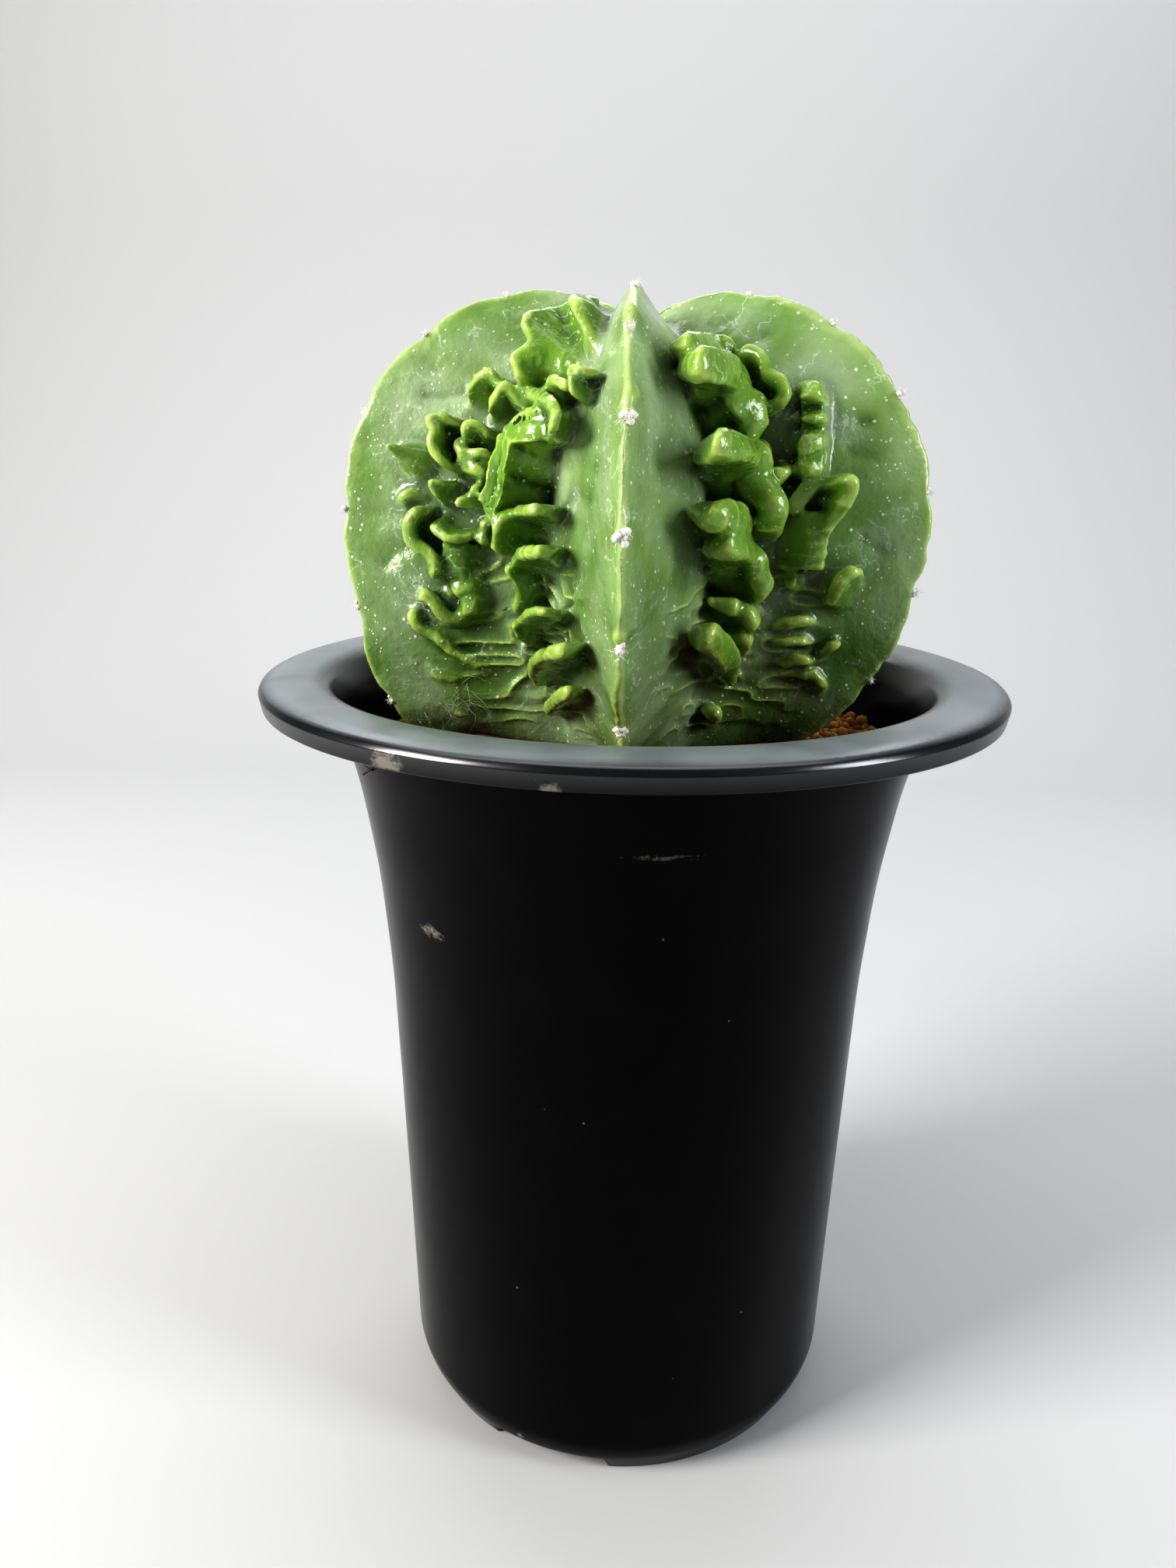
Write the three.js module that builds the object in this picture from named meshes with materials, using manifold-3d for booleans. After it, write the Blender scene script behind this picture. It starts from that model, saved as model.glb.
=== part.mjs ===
// Potted bishops cap cactus: one five-ribbed body with folded growths between its ribs,
// sitting on the granules of a deep black plastic pot. Millimetres, +Z up.
// Origin: middle of the pot's foot, at the surface it stands on.

import * as THREE from "three";
import { mergeVertices } from "three/addons/utils/BufferGeometryUtils.js";
import Module from "manifold-3d";

const wasm = await Module();
wasm.setup();

// Driving dimensions of the pot
const POT_RADIUS = 80;            // outer edge of the rim
const POT_HEIGHT = 173;           // top of the rim
const WALL = 2.2;
const MOUTH_RADIUS = 65.4;        // inner edge of the rim
const MOUTH_Z = 171.4;
const SKIRT_Z = 167.3;            // lower edge of the rim's skirt
const FLOOR_Z = 7;                // top of the pot's floor
const FOOT_RADIUS = 46.6;
const FOOT_HEIGHT = 4.2;          // the floor stands this high on the foot ring
const FOOT_WALL = 2.6;
const POT_SIDES = 48;
const DRAIN_RADIUS = 5;
const DRAIN_RING = 26;
const DRAINS = 6;                 // holes in a ring, round one in the middle
const DRAIN_SIDES = 10;
const ARCHES = 4;                 // notches in the foot ring that let water out
const ARCH_WIDTH = 27;
const ARCH_HEIGHT = 2.8;
const ARCH_AZIMUTH = -18;

// Driving dimensions of the soil
const GAP = 0.3;                  // clearance between pieces that only rest in each other
const SOIL_Z = 157.6;
const SOIL_FALL = 1.6;            // the surface falls this much towards the left wall
const GRAIN = 0.7;                // height of the granules' relief
const SOIL_SIDES = 40;

// Driving dimensions of the cactus
const RIBS = 5;
const BODY_Z = 206;               // height of the body's middle
const CREST = 61.7;               // radius of a rib's crest at the middle
const CROWN_DROP = 24.5;          // how much the crest's radius shrinks up to the crown
const FOOT_DROP = 7.2;            // and down to the base
const FOOT_SWELL = [0, 1, 2, 3, 6]; // how much fuller each rib's crest is low down
const SWELL_FROM = 8;             // degrees below the middle where the swell begins
const SWELL_TO = 41;              // and where it is full
const SWELL_LOSS = 0.35;          // share of the swell that is lost again down to the base
const VALLEY = 28;                // radius at the bottom of a furrow
const BELLY = 1.6;                // bulge of a rib's side
const BEAD = 1.2;                 // half thickness of the crest's rounded edge
const BEAD_DEPTH = 1.2;           // how far the crest stands past the edges of its bead
const FRONT_AZIMUTH = -2;         // the first rib's azimuth in degrees, 0 facing -Y
const BASE_LATITUDE = -49;
const TOP_LATITUDE = 86;
const SKIN_ROWS = 23;             // rings of points between base and crown
const COLLAR_Z = 158.9;
const COLLAR_RADIUS = 16;
const ROOT_TIP_Z = 112;
const ROOT_TIP_RADIUS = 4;
const ROOT_WAIST_Z = 130;         // the root narrows towards its tip from here
const SHOULDER_Z = 150.9;         // and is as wide as the collar from here up
const WAIST_SHARE = 0.75;         // its radius at the waist, as a share of the collar's
const UNDERSIDE_SHARE = 0.8;      // the flat underside reaches this far out
const SINK = 2.2;                 // depth of a fold's foot below the skin
const HORN_SINK = 1.5;
const HORN_SIDES = 6;

const HALF = Math.PI / RIBS;
const radians = (degrees) => degrees * Math.PI / 180;
const FRONT = radians(FRONT_AZIMUTH);

// Folded growths of a furrow. Each station of a fold is five millimetre values: where its foot
// stands (across the furrow, up from the body's middle), where its free rim is (across, up),
// and how far the rim stands out from the skin. thick is the fold's thickness, and bulge is
// how far the sheet between foot and rim swells outwards, or sags inwards where negative.
const LEFT_FOLDS = [
  { name: "upper rib", thick: 2.6, bulge: 0.6, at: [
    [17.5, 30, 13, 38.5, 12], [14, 28, 6, 41, 16], [10.5, 26, -4, 38.5, 17],
    [4.5, 24.5, -1.5, 30, 15], [-1, 23, -1, 25, 10], [-1.5, 21, 0, 22.5, 5]] },
  { name: "hook leaf", thick: 1.9, bulge: -0.4, at: [
    [18.5, 25.5, 23, 26.5, 6], [19, 24.5, 20, 27, 7.5], [19, 23.5, 17.5, 27.5, 8],
    [20, 22.5, 18.5, 25, 7.5], [19, 22, 18.5, 23, 6.5], [19, 21, 17.5, 21, 4]] },
  { name: "small leaf", thick: 2, bulge: 0.8, at: [
    [9.5, 22, 17.5, 23.5, 5], [7.5, 21.5, 15, 25, 7], [7.5, 20.5, 10, 26, 8],
    [4.5, 20.5, 7, 24.5, 7.5], [2.5, 20, 8.5, 22.5, 6], [2, 19.5, 9, 20.5, 4]] },
  { name: "pointed leaf", thick: 1.9, bulge: 0.4, at: [
    [-15, 20.5, -14, 22, 3], [-14, 20.5, -12, 24.5, 6], [-12.5, 20.5, -10, 26, 8],
    [-10.5, 21, -5.5, 26.5, 9], [-9.5, 21.5, -5.5, 24.5, 6], [-8.5, 21.5, -6.5, 23, 3]] },
  { name: "roof fold front", thick: 2, bulge: 0.6, at: [
    [-11, 18, -9.5, 19.5, 4], [-10, 18, -7, 22, 7], [-6.5, 18, -3.5, 25.5, 10],
    [-5, 18, -2, 23.5, 9], [-2, 17.5, 0, 20.5, 7], [-1, 17, 4.5, 19.5, 5]] },
  { name: "roof fold back", thick: 2.4, bulge: 0.8, at: [
    [-6.5, 21, -4.5, 25, 7], [-4.5, 20.5, -1, 24.5, 9], [-1.5, 18.5, 13, 22.5, 9],
    [-1.5, 17.5, 17.5, 20.5, 8.5], [-1, 13.5, 17, 16.5, 8], [-1.5, 12, 13.5, 15, 6]] },
  { name: "crinkled flap", thick: 2, bulge: 0, at: [
    [-15, 16.5, -13, 18, 4], [-16.5, 15.5, -14.5, 19.5, 8], [-16.5, 14.5, -15.5, 19, 9],
    [-17, 12, -15.5, 15, 8], [-16.5, 10.5, -14.5, 12.5, 8], [-15, 8, -13.5, 8, 5]] },
  { name: "thin leaf", thick: 1.8, bulge: 0.8, at: [
    [-8.5, 13, -6, 15, 4], [-9.5, 13, -6.5, 17, 7], [-10.5, 12.5, -8.5, 18.5, 8],
    [-11.5, 12.5, -10, 17.5, 8], [-12.5, 12, -11, 15.5, 6], [-13, 12.5, -11, 14, 4]] },
  { name: "upper pleat", thick: 2, bulge: 1, at: [
    [-14.5, 10.5, -13, 11.5, 3], [-13.5, 10.5, -11, 12.5, 5], [-12.5, 10.5, -8.5, 13, 6.5],
    [-11, 10.5, -7, 13, 6.5], [-9.5, 10, -6, 11.5, 5], [-9, 9.5, -7, 10.5, 3]] },
  { name: "lower pleat", thick: 2.2, bulge: 1, at: [
    [-14.5, 8.5, -13, 10, 3.5], [-13.5, 8, -10.5, 10.5, 5], [-12, 7.5, -8.5, 10, 6],
    [-10.5, 7.5, -7, 9, 5.5], [-9.5, 7.5, -7, 8, 3.5]] },
  { name: "dome lobe", thick: 5, bulge: 4.5, at: [
    [4.5, 14.5, 11.5, 17.5, 6], [3.5, 12, 2, 18.5, 11.5], [3, 9, -1.5, 13.5, 12],
    [-0.5, 6.5, -3, 8.5, 10.5], [-1.5, 4, -5, 3.5, 9], [-3.5, 2, -7.5, 0, 5]] },
  { name: "side flap", thick: 2, bulge: -0.6, at: [
    [-16, 4.5, -14, 7.5, 4], [-16.5, 3.5, -13.5, 7.5, 7], [-16.5, 2.5, -15, 7.5, 8],
    [-17, 1.5, -15, 5, 7], [-17.5, 1, -16.5, 2.5, 5]] },
  { name: "low bump", thick: 3, bulge: 0.5, at: [
    [-25, 1.5, -24, 1.5, 2], [-25, 3.5, -23.5, 3.5, 2.5], [-23.5, 4.5, -22, 4.5, 2.5],
    [-21, 4, -20, 4, 2]] },
  { name: "wavy crest", thick: 3, bulge: 0.6, at: [
    [-20.5, 0.5, -18, 2.5, 3], [-21.5, -2.5, -19, 0.5, 7], [-21.5, -4.5, -19.5, -3, 6.5],
    [-19, -7.5, -16.5, -6.5, 6], [-18.5, -9, -15.5, -8.5, 6], [-17.5, -12, -16, -12, 3.5]] },
  { name: "cup fold", thick: 2.2, bulge: -1.2, at: [
    [-11.5, -3.5, -9, -2.5, 3], [-12, -1.5, -9, -3.5, 6], [-14.5, -1, -11.5, -4, 7.5],
    [-16.5, -0.5, -14, -3, 7], [-17.5, 0, -16, -1.5, 6], [-17.5, 1, -16.5, 1, 4]] },
  { name: "tongue one", thick: 2.6, bulge: -1.6, at: [
    [6.5, 1.5, 13.5, 4, 6], [7.5, 0, 12, 3.5, 10], [4.5, -2, 0.5, 2.5, 11.5],
    [-1, -4.5, -2.5, -2.5, 11.5], [-2, -5.5, -3.5, -5.5, 10], [-3, -6, -4.5, -7.5, 6]] },
  { name: "tongue two", thick: 2.6, bulge: -1.6, at: [
    [7, -6.5, 15.5, -3, 6], [7.5, -8, 15, -3.5, 9.5], [3, -12, -1, -8, 11],
    [1.5, -13.5, -1, -11, 9.5], [-2.5, -16.5, -3, -17, 6], [-4, -18, -5.5, -18.5, 3]] },
  { name: "tongue three", thick: 2.4, bulge: -1.4, at: [
    [9, -19, 15, -15.5, 5], [7, -20.5, 14.5, -14.5, 8], [5, -22, 8.5, -15.5, 10],
    [1, -24, 0, -19, 10], [-0.5, -25, -1.5, -21.5, 8], [-2.5, -26, -3.5, -25, 4]] },
  { name: "tongue four", thick: 2.8, bulge: -1, at: [
    [15.5, -23.5, 21.5, -19.5, 5], [13, -26.5, 21, -20.5, 8.5], [9.5, -29, 13.5, -22.5, 10],
    [5, -31.5, 7.5, -25.5, 10], [1, -33.5, 3, -29.5, 8], [-1, -34.5, 0.5, -33, 4]] },
  { name: "tongue five", thick: 2.6, bulge: 0.6, at: [
    [13.5, -33, 17, -30, 3], [10, -35, 16, -30, 5.5], [5.5, -37, 9.5, -33, 6],
    [2.5, -38.5, 2, -37, 4], [1, -39.5, 0.5, -39, 2.5]] },
  { name: "sausage one", thick: 3.6, bulge: 0, at: [
    [-18, -15, -17, -14.5, 2], [-16, -13.5, -13.5, -13.5, 4], [-13, -14, -10.5, -13.5, 4],
    [-11, -14.5, -9.5, -14, 2]] },
  { name: "sausage two", thick: 4.2, bulge: 0, at: [
    [-17, -17.5, -15.5, -17.5, 2], [-15, -17.5, -12, -17, 4], [-12.5, -16.5, -10, -16, 4],
    [-11, -17, -9.5, -17, 2]] },
  { name: "curved ridge", thick: 2.8, bulge: 0, at: [
    [-23.5, -17, -22.5, -15.5, 3], [-22, -17, -19, -14.5, 5], [-20.5, -18, -17.5, -15.5, 5],
    [-19, -20.5, -15.5, -18.5, 5], [-16.5, -21, -14, -19.5, 4], [-12, -19.5, -10, -18, 3]] },
  { name: "long ridge", thick: 2.6, bulge: 0, at: [
    [-23.5, -18, -22, -17.5, 2], [-25, -20.5, -22, -19.5, 4], [-23.5, -22.5, -21, -22, 4],
    [-18.5, -27, -16, -26.5, 3.5], [-15, -29, -13, -28.5, 3], [-11, -30, -9.5, -29.5, 2]] },
  { name: "foot ridge", thick: 2.8, bulge: 0, at: [
    [-24, -28, -23, -28, 1.5], [-23.5, -32, -21.5, -31.5, 3], [-19.5, -33, -17.5, -32.5, 3],
    [-16, -34, -15, -33.5, 1.5]] },
  { name: "foot lump", thick: 3.2, bulge: 0, at: [
    [-21.5, -37.5, -20.5, -37, 1.5], [-20.5, -40, -18.5, -39.5, 3], [-17, -40.5, -15.5, -40, 2]] },
  { name: "crinkled flap inner", thick: 1.8, bulge: 0.4, at: [
    [-15.5, 12.5, -12.5, 17, 4], [-15.5, 11, -12.5, 14.5, 5], [-15, 10, -10.5, 12.5, 6],
    [-14.5, 9, -12, 11, 5], [-14.5, 7.5, -13.5, 9.5, 4]] },
];

const RIGHT_FOLDS = [
  { name: "crown lobe", thick: 4.4, bulge: 2.2, at: [
    [-9, 28.5, -15.5, 30.5, 5], [-5.5, 28.5, -16, 31.5, 8], [-0.5, 28.5, -11.5, 32, 10],
    [1.5, 28.5, 0, 33, 10.5], [2.5, 28.5, 0.5, 31, 9], [2, 28, 0.5, 29.5, 6]] },
  { name: "long lobe", thick: 5.2, bulge: 2.6, at: [
    [-7, 24.5, -15, 27.5, 6], [-4.5, 23, -12, 28.5, 13], [-3.5, 20.5, -1.5, 26.5, 12],
    [-3, 19, -3.5, 24, 11.5], [0.5, 16, 1, 18.5, 11], [3, 14.5, 4, 14.5, 5]] },
  { name: "branch fold", thick: 3, bulge: 1, at: [
    [6.5, 26.5, 3.5, 29.5, 5], [7.5, 25.5, 3.5, 32.5, 11], [8, 24, 5, 28, 10],
    [8.5, 23.5, 6.5, 26.5, 10.5], [8, 21.5, 6.5, 22.5, 9], [7.5, 20.5, 6, 21, 4]] },
  { name: "small curl", thick: 2.2, bulge: 1, at: [
    [5, 21.5, 2.5, 24, 5], [5.5, 21, 2.5, 24.5, 8], [5.5, 20.5, 3.5, 23.5, 9], [6, 20, 4, 21.5, 8],
    [6, 19.5, 4.5, 19.5, 5]] },
  { name: "warty finger", thick: 4.4, bulge: 0.6, at: [
    [18.5, 25, 12, 26, 7], [18.5, 22.5, 10, 23, 10], [18, 19.5, 10, 20, 10],
    [17.5, 15.5, 10, 16.5, 9.5], [17, 12.5, 11, 12.5, 7.5], [16.5, 9, 11, 8.5, 5]] },
  { name: "finger leg", thick: 3, bulge: 0.4, at: [
    [13, 11, 9, 12, 6], [12, 9, 6, 10.5, 8.5], [11, 7.5, 4.5, 9, 8.5], [10, 6.5, 4.5, 7, 7],
    [10, 5.5, 6.5, 5.5, 4]] },
  { name: "big lobe", thick: 5, bulge: 0.2, at: [
    [-2.5, 10.5, -13, 13.5, 6], [0.5, 7, -15, 15.5, 13.5], [1.5, 4.5, 0.5, 14, 13],
    [5, 2.5, 2, 7, 12.5], [6, 0, 3.5, 1.5, 12], [7, -2, 5, -3, 5]] },
  { name: "ear flap", thick: 2.8, bulge: -1.6, at: [
    [15.5, 6, 12.5, 8, 5], [16, 2.5, 14.5, 10, 12], [16, 0, 15, 5.5, 12],
    [16.5, -1.5, 14.5, 3.5, 11], [17.5, -4, 13, -0.5, 8.5], [18.5, -6.5, 15.5, -6, 4]] },
  { name: "tongue one", thick: 5, bulge: 2, at: [
    [-6.5, 1, -14.5, 4, 5], [-5, -1.5, -16, 3.5, 9], [-3.5, -3, -11.5, 3.5, 12],
    [0.5, -4.5, -5, 1.5, 12.5], [1.5, -4.5, 0.5, -1, 10], [3, -4.5, 1.5, -3.5, 6]] },
  { name: "tongue two", thick: 4.4, bulge: 0.6, at: [
    [0.5, -8.5, -11.5, -3, 6], [1, -10.5, -12, -1.5, 11.5], [2, -12, -2.5, -3, 12.5],
    [4, -14, 2.5, -8.5, 10.5], [5.5, -14.5, 4.5, -12, 8.5], [7, -15, 6, -14.5, 5]] },
  { name: "hook crest", thick: 2.6, bulge: 0.4, at: [
    [25.5, -10.5, 23, -8.5, 4], [25, -12, 18.5, -7.5, 8], [24, -13, 16.5, -8.5, 8.5],
    [23.5, -14.5, 15.5, -10.5, 8], [22.5, -15.5, 16, -13, 6], [22, -16, 17.5, -15, 4]] },
  { name: "tongue three", thick: 3.2, bulge: 0.2, at: [
    [1.5, -18, -5.5, -14, 5], [2.5, -19, -1.5, -14.5, 8.5], [3.5, -20, 1.5, -16, 9],
    [5, -20.5, 3.5, -18.5, 8], [6.5, -21.5, 6, -21, 4.5]] },
  { name: "tongue four", thick: 3, bulge: 0.4, at: [
    [3, -24.5, 1, -21.5, 4], [4, -25, 1.5, -20.5, 7], [5.5, -25.5, 3.5, -22, 7],
    [6.5, -26, 6, -25, 4]] },
  { name: "round wart", thick: 4.6, bulge: 1.6, at: [
    [-4.5, -24, -11, -20, 4], [-2.5, -26.5, -12, -18.5, 8], [-0.5, -28.5, -7, -21.5, 9.5],
    [1, -30, -2.5, -25, 9.5], [2, -31, -0.5, -28.5, 8], [3.5, -31.5, 0.5, -31, 5]] },
  { name: "drip", thick: 2.2, bulge: 0, at: [
    [5, -27.5, 4, -27.5, 2], [6.5, -30, 4, -29.5, 4], [8, -31.5, 6.5, -31, 2]] },
  { name: "sausage", thick: 3.6, bulge: 0, at: [
    [11.5, -10, 10.5, -9.5, 2], [13.5, -11, 11, -10.5, 4], [16, -11, 14.5, -11, 2.5]] },
  { name: "low pleat one", thick: 2.8, bulge: 0, at: [
    [11.5, -20, 10.5, -20, 1.5], [13.5, -19.5, 11.5, -19, 3], [16.5, -19, 14.5, -18.5, 3],
    [18.5, -19.5, 17.5, -19.5, 1.5]] },
  { name: "low pleat two", thick: 2.6, bulge: 0, at: [
    [11.5, -24.5, 11, -24.5, 1.5], [13.5, -23.5, 11.5, -23, 3], [17, -23, 15, -22.5, 3],
    [19, -24.5, 18, -24.5, 1.5]] },
  { name: "low pleat three", thick: 2.6, bulge: 0, at: [
    [12.5, -27.5, 11.5, -27.5, 1.5], [15.5, -27, 13.5, -26.5, 3], [18.5, -27, 16.5, -26.5, 3],
    [20.5, -27, 19.5, -26.5, 1.5]] },
  { name: "low crest", thick: 2.4, bulge: 0, at: [
    [20.5, -27.5, 19.5, -27.5, 2], [21.5, -25, 19, -24.5, 4], [22.5, -23.5, 20, -23, 4],
    [22.5, -22, 21.5, -22, 2]] },
  { name: "foot fold", thick: 2.6, bulge: 0, at: [
    [14.5, -30, 13.5, -30, 1.5], [19.5, -30, 17.5, -29.5, 3], [22, -32.5, 20.5, -32, 3],
    [22.5, -35.5, 21.5, -35, 1.5]] },
  { name: "foot wart", thick: 3.2, bulge: 0, at: [
    [1, -37, 0, -36.5, 2], [3, -39, 0.5, -38, 4], [3.5, -42, 2, -41.5, 2]] },
  { name: "edge curl", thick: 2.2, bulge: 0, at: [
    [6.5, 15.5, 5, 16.5, 4], [7, 14, 5, 14.5, 6], [7, 12, 5.5, 11.5, 5], [7, 10, 5.5, 10, 3]] },
  { name: "finger skirt", thick: 3, bulge: 1.6, at: [
    [17, 9, 13.5, 11.5, 6], [16.5, 6.5, 11, 9, 7], [15, 4.5, 9.5, 6.5, 7], [13, 3, 8.5, 4, 6],
    [11, 3, 8, 3.5, 4]] },
];

// Fans of short level pleats: across from and to, top and step, count, rise and thickness
const LEFT_FAN = { from: -17, to: -10, top: -5.5, step: -1.5, count: 5, rise: 4, thick: 1.5 };
const RIGHT_FAN = { from: 9.5, to: 16.5, top: 1, step: -2.2, count: 5, rise: 6.5, thick: 2.6 };

// Horns and beads: foot across, up; tip across, up; rise; foot radius; tip radius
const LEFT_HORNS = [
  [-23, 10.5, -23, 14, 8, 4.4, 1],
  [-10, 4.5, -11, 3, 7, 3.4, 1.4],
  [-9.5, 6.5, -9, 5.5, 6, 2.4, 1.2],
  [-10, -1.5, -6.5, -1, 6, 1.9, 1.4],
  [-10, -4, -7, -3.5, 6, 2.1, 1.6],
];

// Woolly areoles on the crests: latitudes of the lowest one, the step, and each rib's shift
const AREOLE_START = -37;
const AREOLE_STEP = 18.6;
const AREOLES = 6;
const AREOLE_SHIFT = [0, 6, -3, 4, 1];
const TUFT = 1.7;                 // radius of a wool tuft
const NOTCH = 1.1;                // depth of the dip in the crest at an areole
const NOTCH_WIDTH = 3.2;          // its half width in degrees of latitude

function areoleLatitude(rib, index) {
  return radians(AREOLE_START + AREOLE_SHIFT[rib] + AREOLE_STEP * index);
}

// 0 below low, 1 above high, smooth in between
function ramp(value, low, high) {
  const part = Math.min(Math.max((value - low) / (high - low), 0), 1);
  return part * part * (3 - 2 * part);
}

// Radius of a rib's crest, from the body's middle, at a latitude
function crestRadius(latitude, rib) {
  const part = Math.abs(latitude) / (Math.PI / 2);
  const drop = latitude > 0 ? CROWN_DROP * part ** 1.9 : FOOT_DROP * part ** 2;
  let dip = 0;
  for (let i = 0; i < AREOLES; i += 1) {
    const away = (latitude - areoleLatitude(rib, i)) / radians(NOTCH_WIDTH);
    dip += NOTCH * Math.exp(-away * away);
  }
  const swell = ramp(-latitude, radians(SWELL_FROM), radians(SWELL_TO));
  const loss = SWELL_LOSS * ramp(-latitude, radians(SWELL_TO), radians(-BASE_LATITUDE));
  return CREST - drop - dip + FOOT_SWELL[rib] * swell * (1 - loss);
}

// Radius of the furrow's bottom: upright in the middle, closing towards crown and base
function valleyRadius(latitude) {
  const cap = latitude > 0 ? CREST - CROWN_DROP : CREST - FOOT_DROP;
  return ((Math.cos(latitude) / VALLEY) ** 6 + (1 / cap) ** 6) ** (-1 / 6);
}

// Angle from the crest's middle to the edge of its rounded bead
function beadAngle(latitude, rib) {
  return Math.atan2(BEAD / Math.max(Math.cos(latitude), 0.35), crestRadius(latitude, rib) - BEAD_DEPTH);
}

// Radius of the skin in a direction: a rounded crest, and sides that run to the furrows
function skinRadius(longitude, latitude) {
  const rib = ((Math.round(longitude / (2 * HALF)) % RIBS) + RIBS) % RIBS;
  const off = Math.abs(longitude - 2 * HALF * Math.round(longitude / (2 * HALF)));
  const crest = crestRadius(latitude, rib);
  const edge = beadAngle(latitude, rib);
  if (off < edge) return crest - BEAD_DEPTH * (off / edge) ** 2;
  const valley = valleyRadius(latitude);
  const edgeX = crest - BEAD_DEPTH;
  const edgeY = BEAD / Math.max(Math.cos(latitude), 0.35);
  const dx = valley * Math.cos(HALF) - edgeX;
  const dy = valley * Math.sin(HALF) - edgeY;
  const side = (edgeX * dy - edgeY * dx) / (Math.cos(off) * dy - Math.sin(off) * dx);
  const part = Math.min((off - edge) / (HALF - edge), 1);
  return side + BELLY * Math.sin(Math.PI * part) * Math.cos(latitude);
}

function skinPoint(longitude, latitude) {
  const radius = skinRadius(longitude, latitude);
  const azimuth = FRONT + longitude;
  const flat = radius * Math.cos(latitude);
  return new THREE.Vector3(flat * Math.sin(azimuth), -flat * Math.cos(azimuth),
    BODY_Z + radius * Math.sin(latitude));
}

// How far out the skin stands in a furrow, at a place across it and up from the body's middle
function furrowDepth(across, up) {
  let near = 4;
  let far = 66;
  for (let i = 0; i < 30; i += 1) {
    const out = (near + far) / 2;
    const flat = Math.hypot(across, out);
    const longitude = HALF + Math.atan2(across, out);
    const inside = Math.hypot(flat, up) < skinRadius(longitude, Math.atan2(up, flat));
    if (inside) near = out;
    else far = out;
  }
  return (near + far) / 2;
}

function furrowPoint(furrow, across, out, up) {
  const azimuth = FRONT + HALF * (2 * furrow + 1);
  const sine = Math.sin(azimuth);
  const cosine = Math.cos(azimuth);
  return new THREE.Vector3(across * cosine + out * sine, across * sine - out * cosine, BODY_Z + up);
}

// A closed surface through rings of equally many points, with a flat or pointed end on each side
function loft(rings, startPoint, endPoint) {
  const points = [startPoint, ...rings.flat(), endPoint];
  const count = rings[0].length;
  const last = points.length - 1;
  const index = (ring, i) => 1 + ring * count + (i % count);
  const faces = [];
  for (let i = 0; i < count; i += 1) {
    faces.push(0, index(0, i + 1), index(0, i));
    faces.push(last, index(rings.length - 1, i), index(rings.length - 1, i + 1));
    for (let ring = 0; ring < rings.length - 1; ring += 1) {
      faces.push(index(ring, i), index(ring, i + 1), index(ring + 1, i + 1));
      faces.push(index(ring, i), index(ring + 1, i + 1), index(ring + 1, i));
    }
  }
  return closedGeometry(points, faces);
}

// Geometry from points and faces, turned inside out where its volume comes out negative
function closedGeometry(points, faces) {
  let volume = 0;
  for (let i = 0; i < faces.length; i += 3) {
    const [a, b, c] = [points[faces[i]], points[faces[i + 1]], points[faces[i + 2]]];
    volume += a.dot(new THREE.Vector3().crossVectors(b, c));
  }
  if (volume < 0) faces.reverse();
  const geometry = new THREE.BufferGeometry();
  const numbers = points.flatMap((point) => [point.x, point.y, point.z]);
  geometry.setAttribute("position", new THREE.Float32BufferAttribute(numbers, 3));
  geometry.setIndex(faces);
  return geometry;
}

function toSolid(geometry) {
  const bare = geometry.clone();
  bare.deleteAttribute("normal");
  bare.deleteAttribute("uv");
  const merged = mergeVertices(bare, 1e-4);
  return new wasm.Manifold(new wasm.Mesh({
    numProp: 3,
    vertProperties: new Float32Array(merged.attributes.position.array),
    triVerts: new Uint32Array(merged.index.array),
  }));
}

function toGeometry(solid) {
  const mesh = solid.getMesh();
  const geometry = new THREE.BufferGeometry();
  geometry.setAttribute("position", new THREE.BufferAttribute(mesh.vertProperties, 3));
  geometry.setIndex(new THREE.BufferAttribute(mesh.triVerts, 1));
  return geometry;
}

// The largest shell of a geometry: hollows sealed by fusing are filled, loose scraps dropped
function largestShell(geometry) {
  const index = geometry.index.array;
  const position = geometry.attributes.position;
  const parent = Array.from({ length: position.count }, (_, i) => i);
  const find = (i) => {
    let root = i;
    while (parent[root] !== root) root = parent[root];
    parent[i] = root;
    return root;
  };
  for (let i = 0; i < index.length; i += 3) {
    parent[find(index[i])] = find(index[i + 1]);
    parent[find(index[i + 1])] = find(index[i + 2]);
  }
  const shells = new Map();
  for (let i = 0; i < index.length; i += 3) {
    const root = find(index[i]);
    if (!shells.has(root)) shells.set(root, []);
    shells.get(root).push(index[i], index[i + 1], index[i + 2]);
  }
  const faces = [...shells.values()].reduce((a, b) => (a.length > b.length ? a : b));
  const kept = new THREE.BufferGeometry();
  kept.setAttribute("position", position);
  kept.setIndex(faces);
  return outward(kept.toNonIndexed());
}

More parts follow.
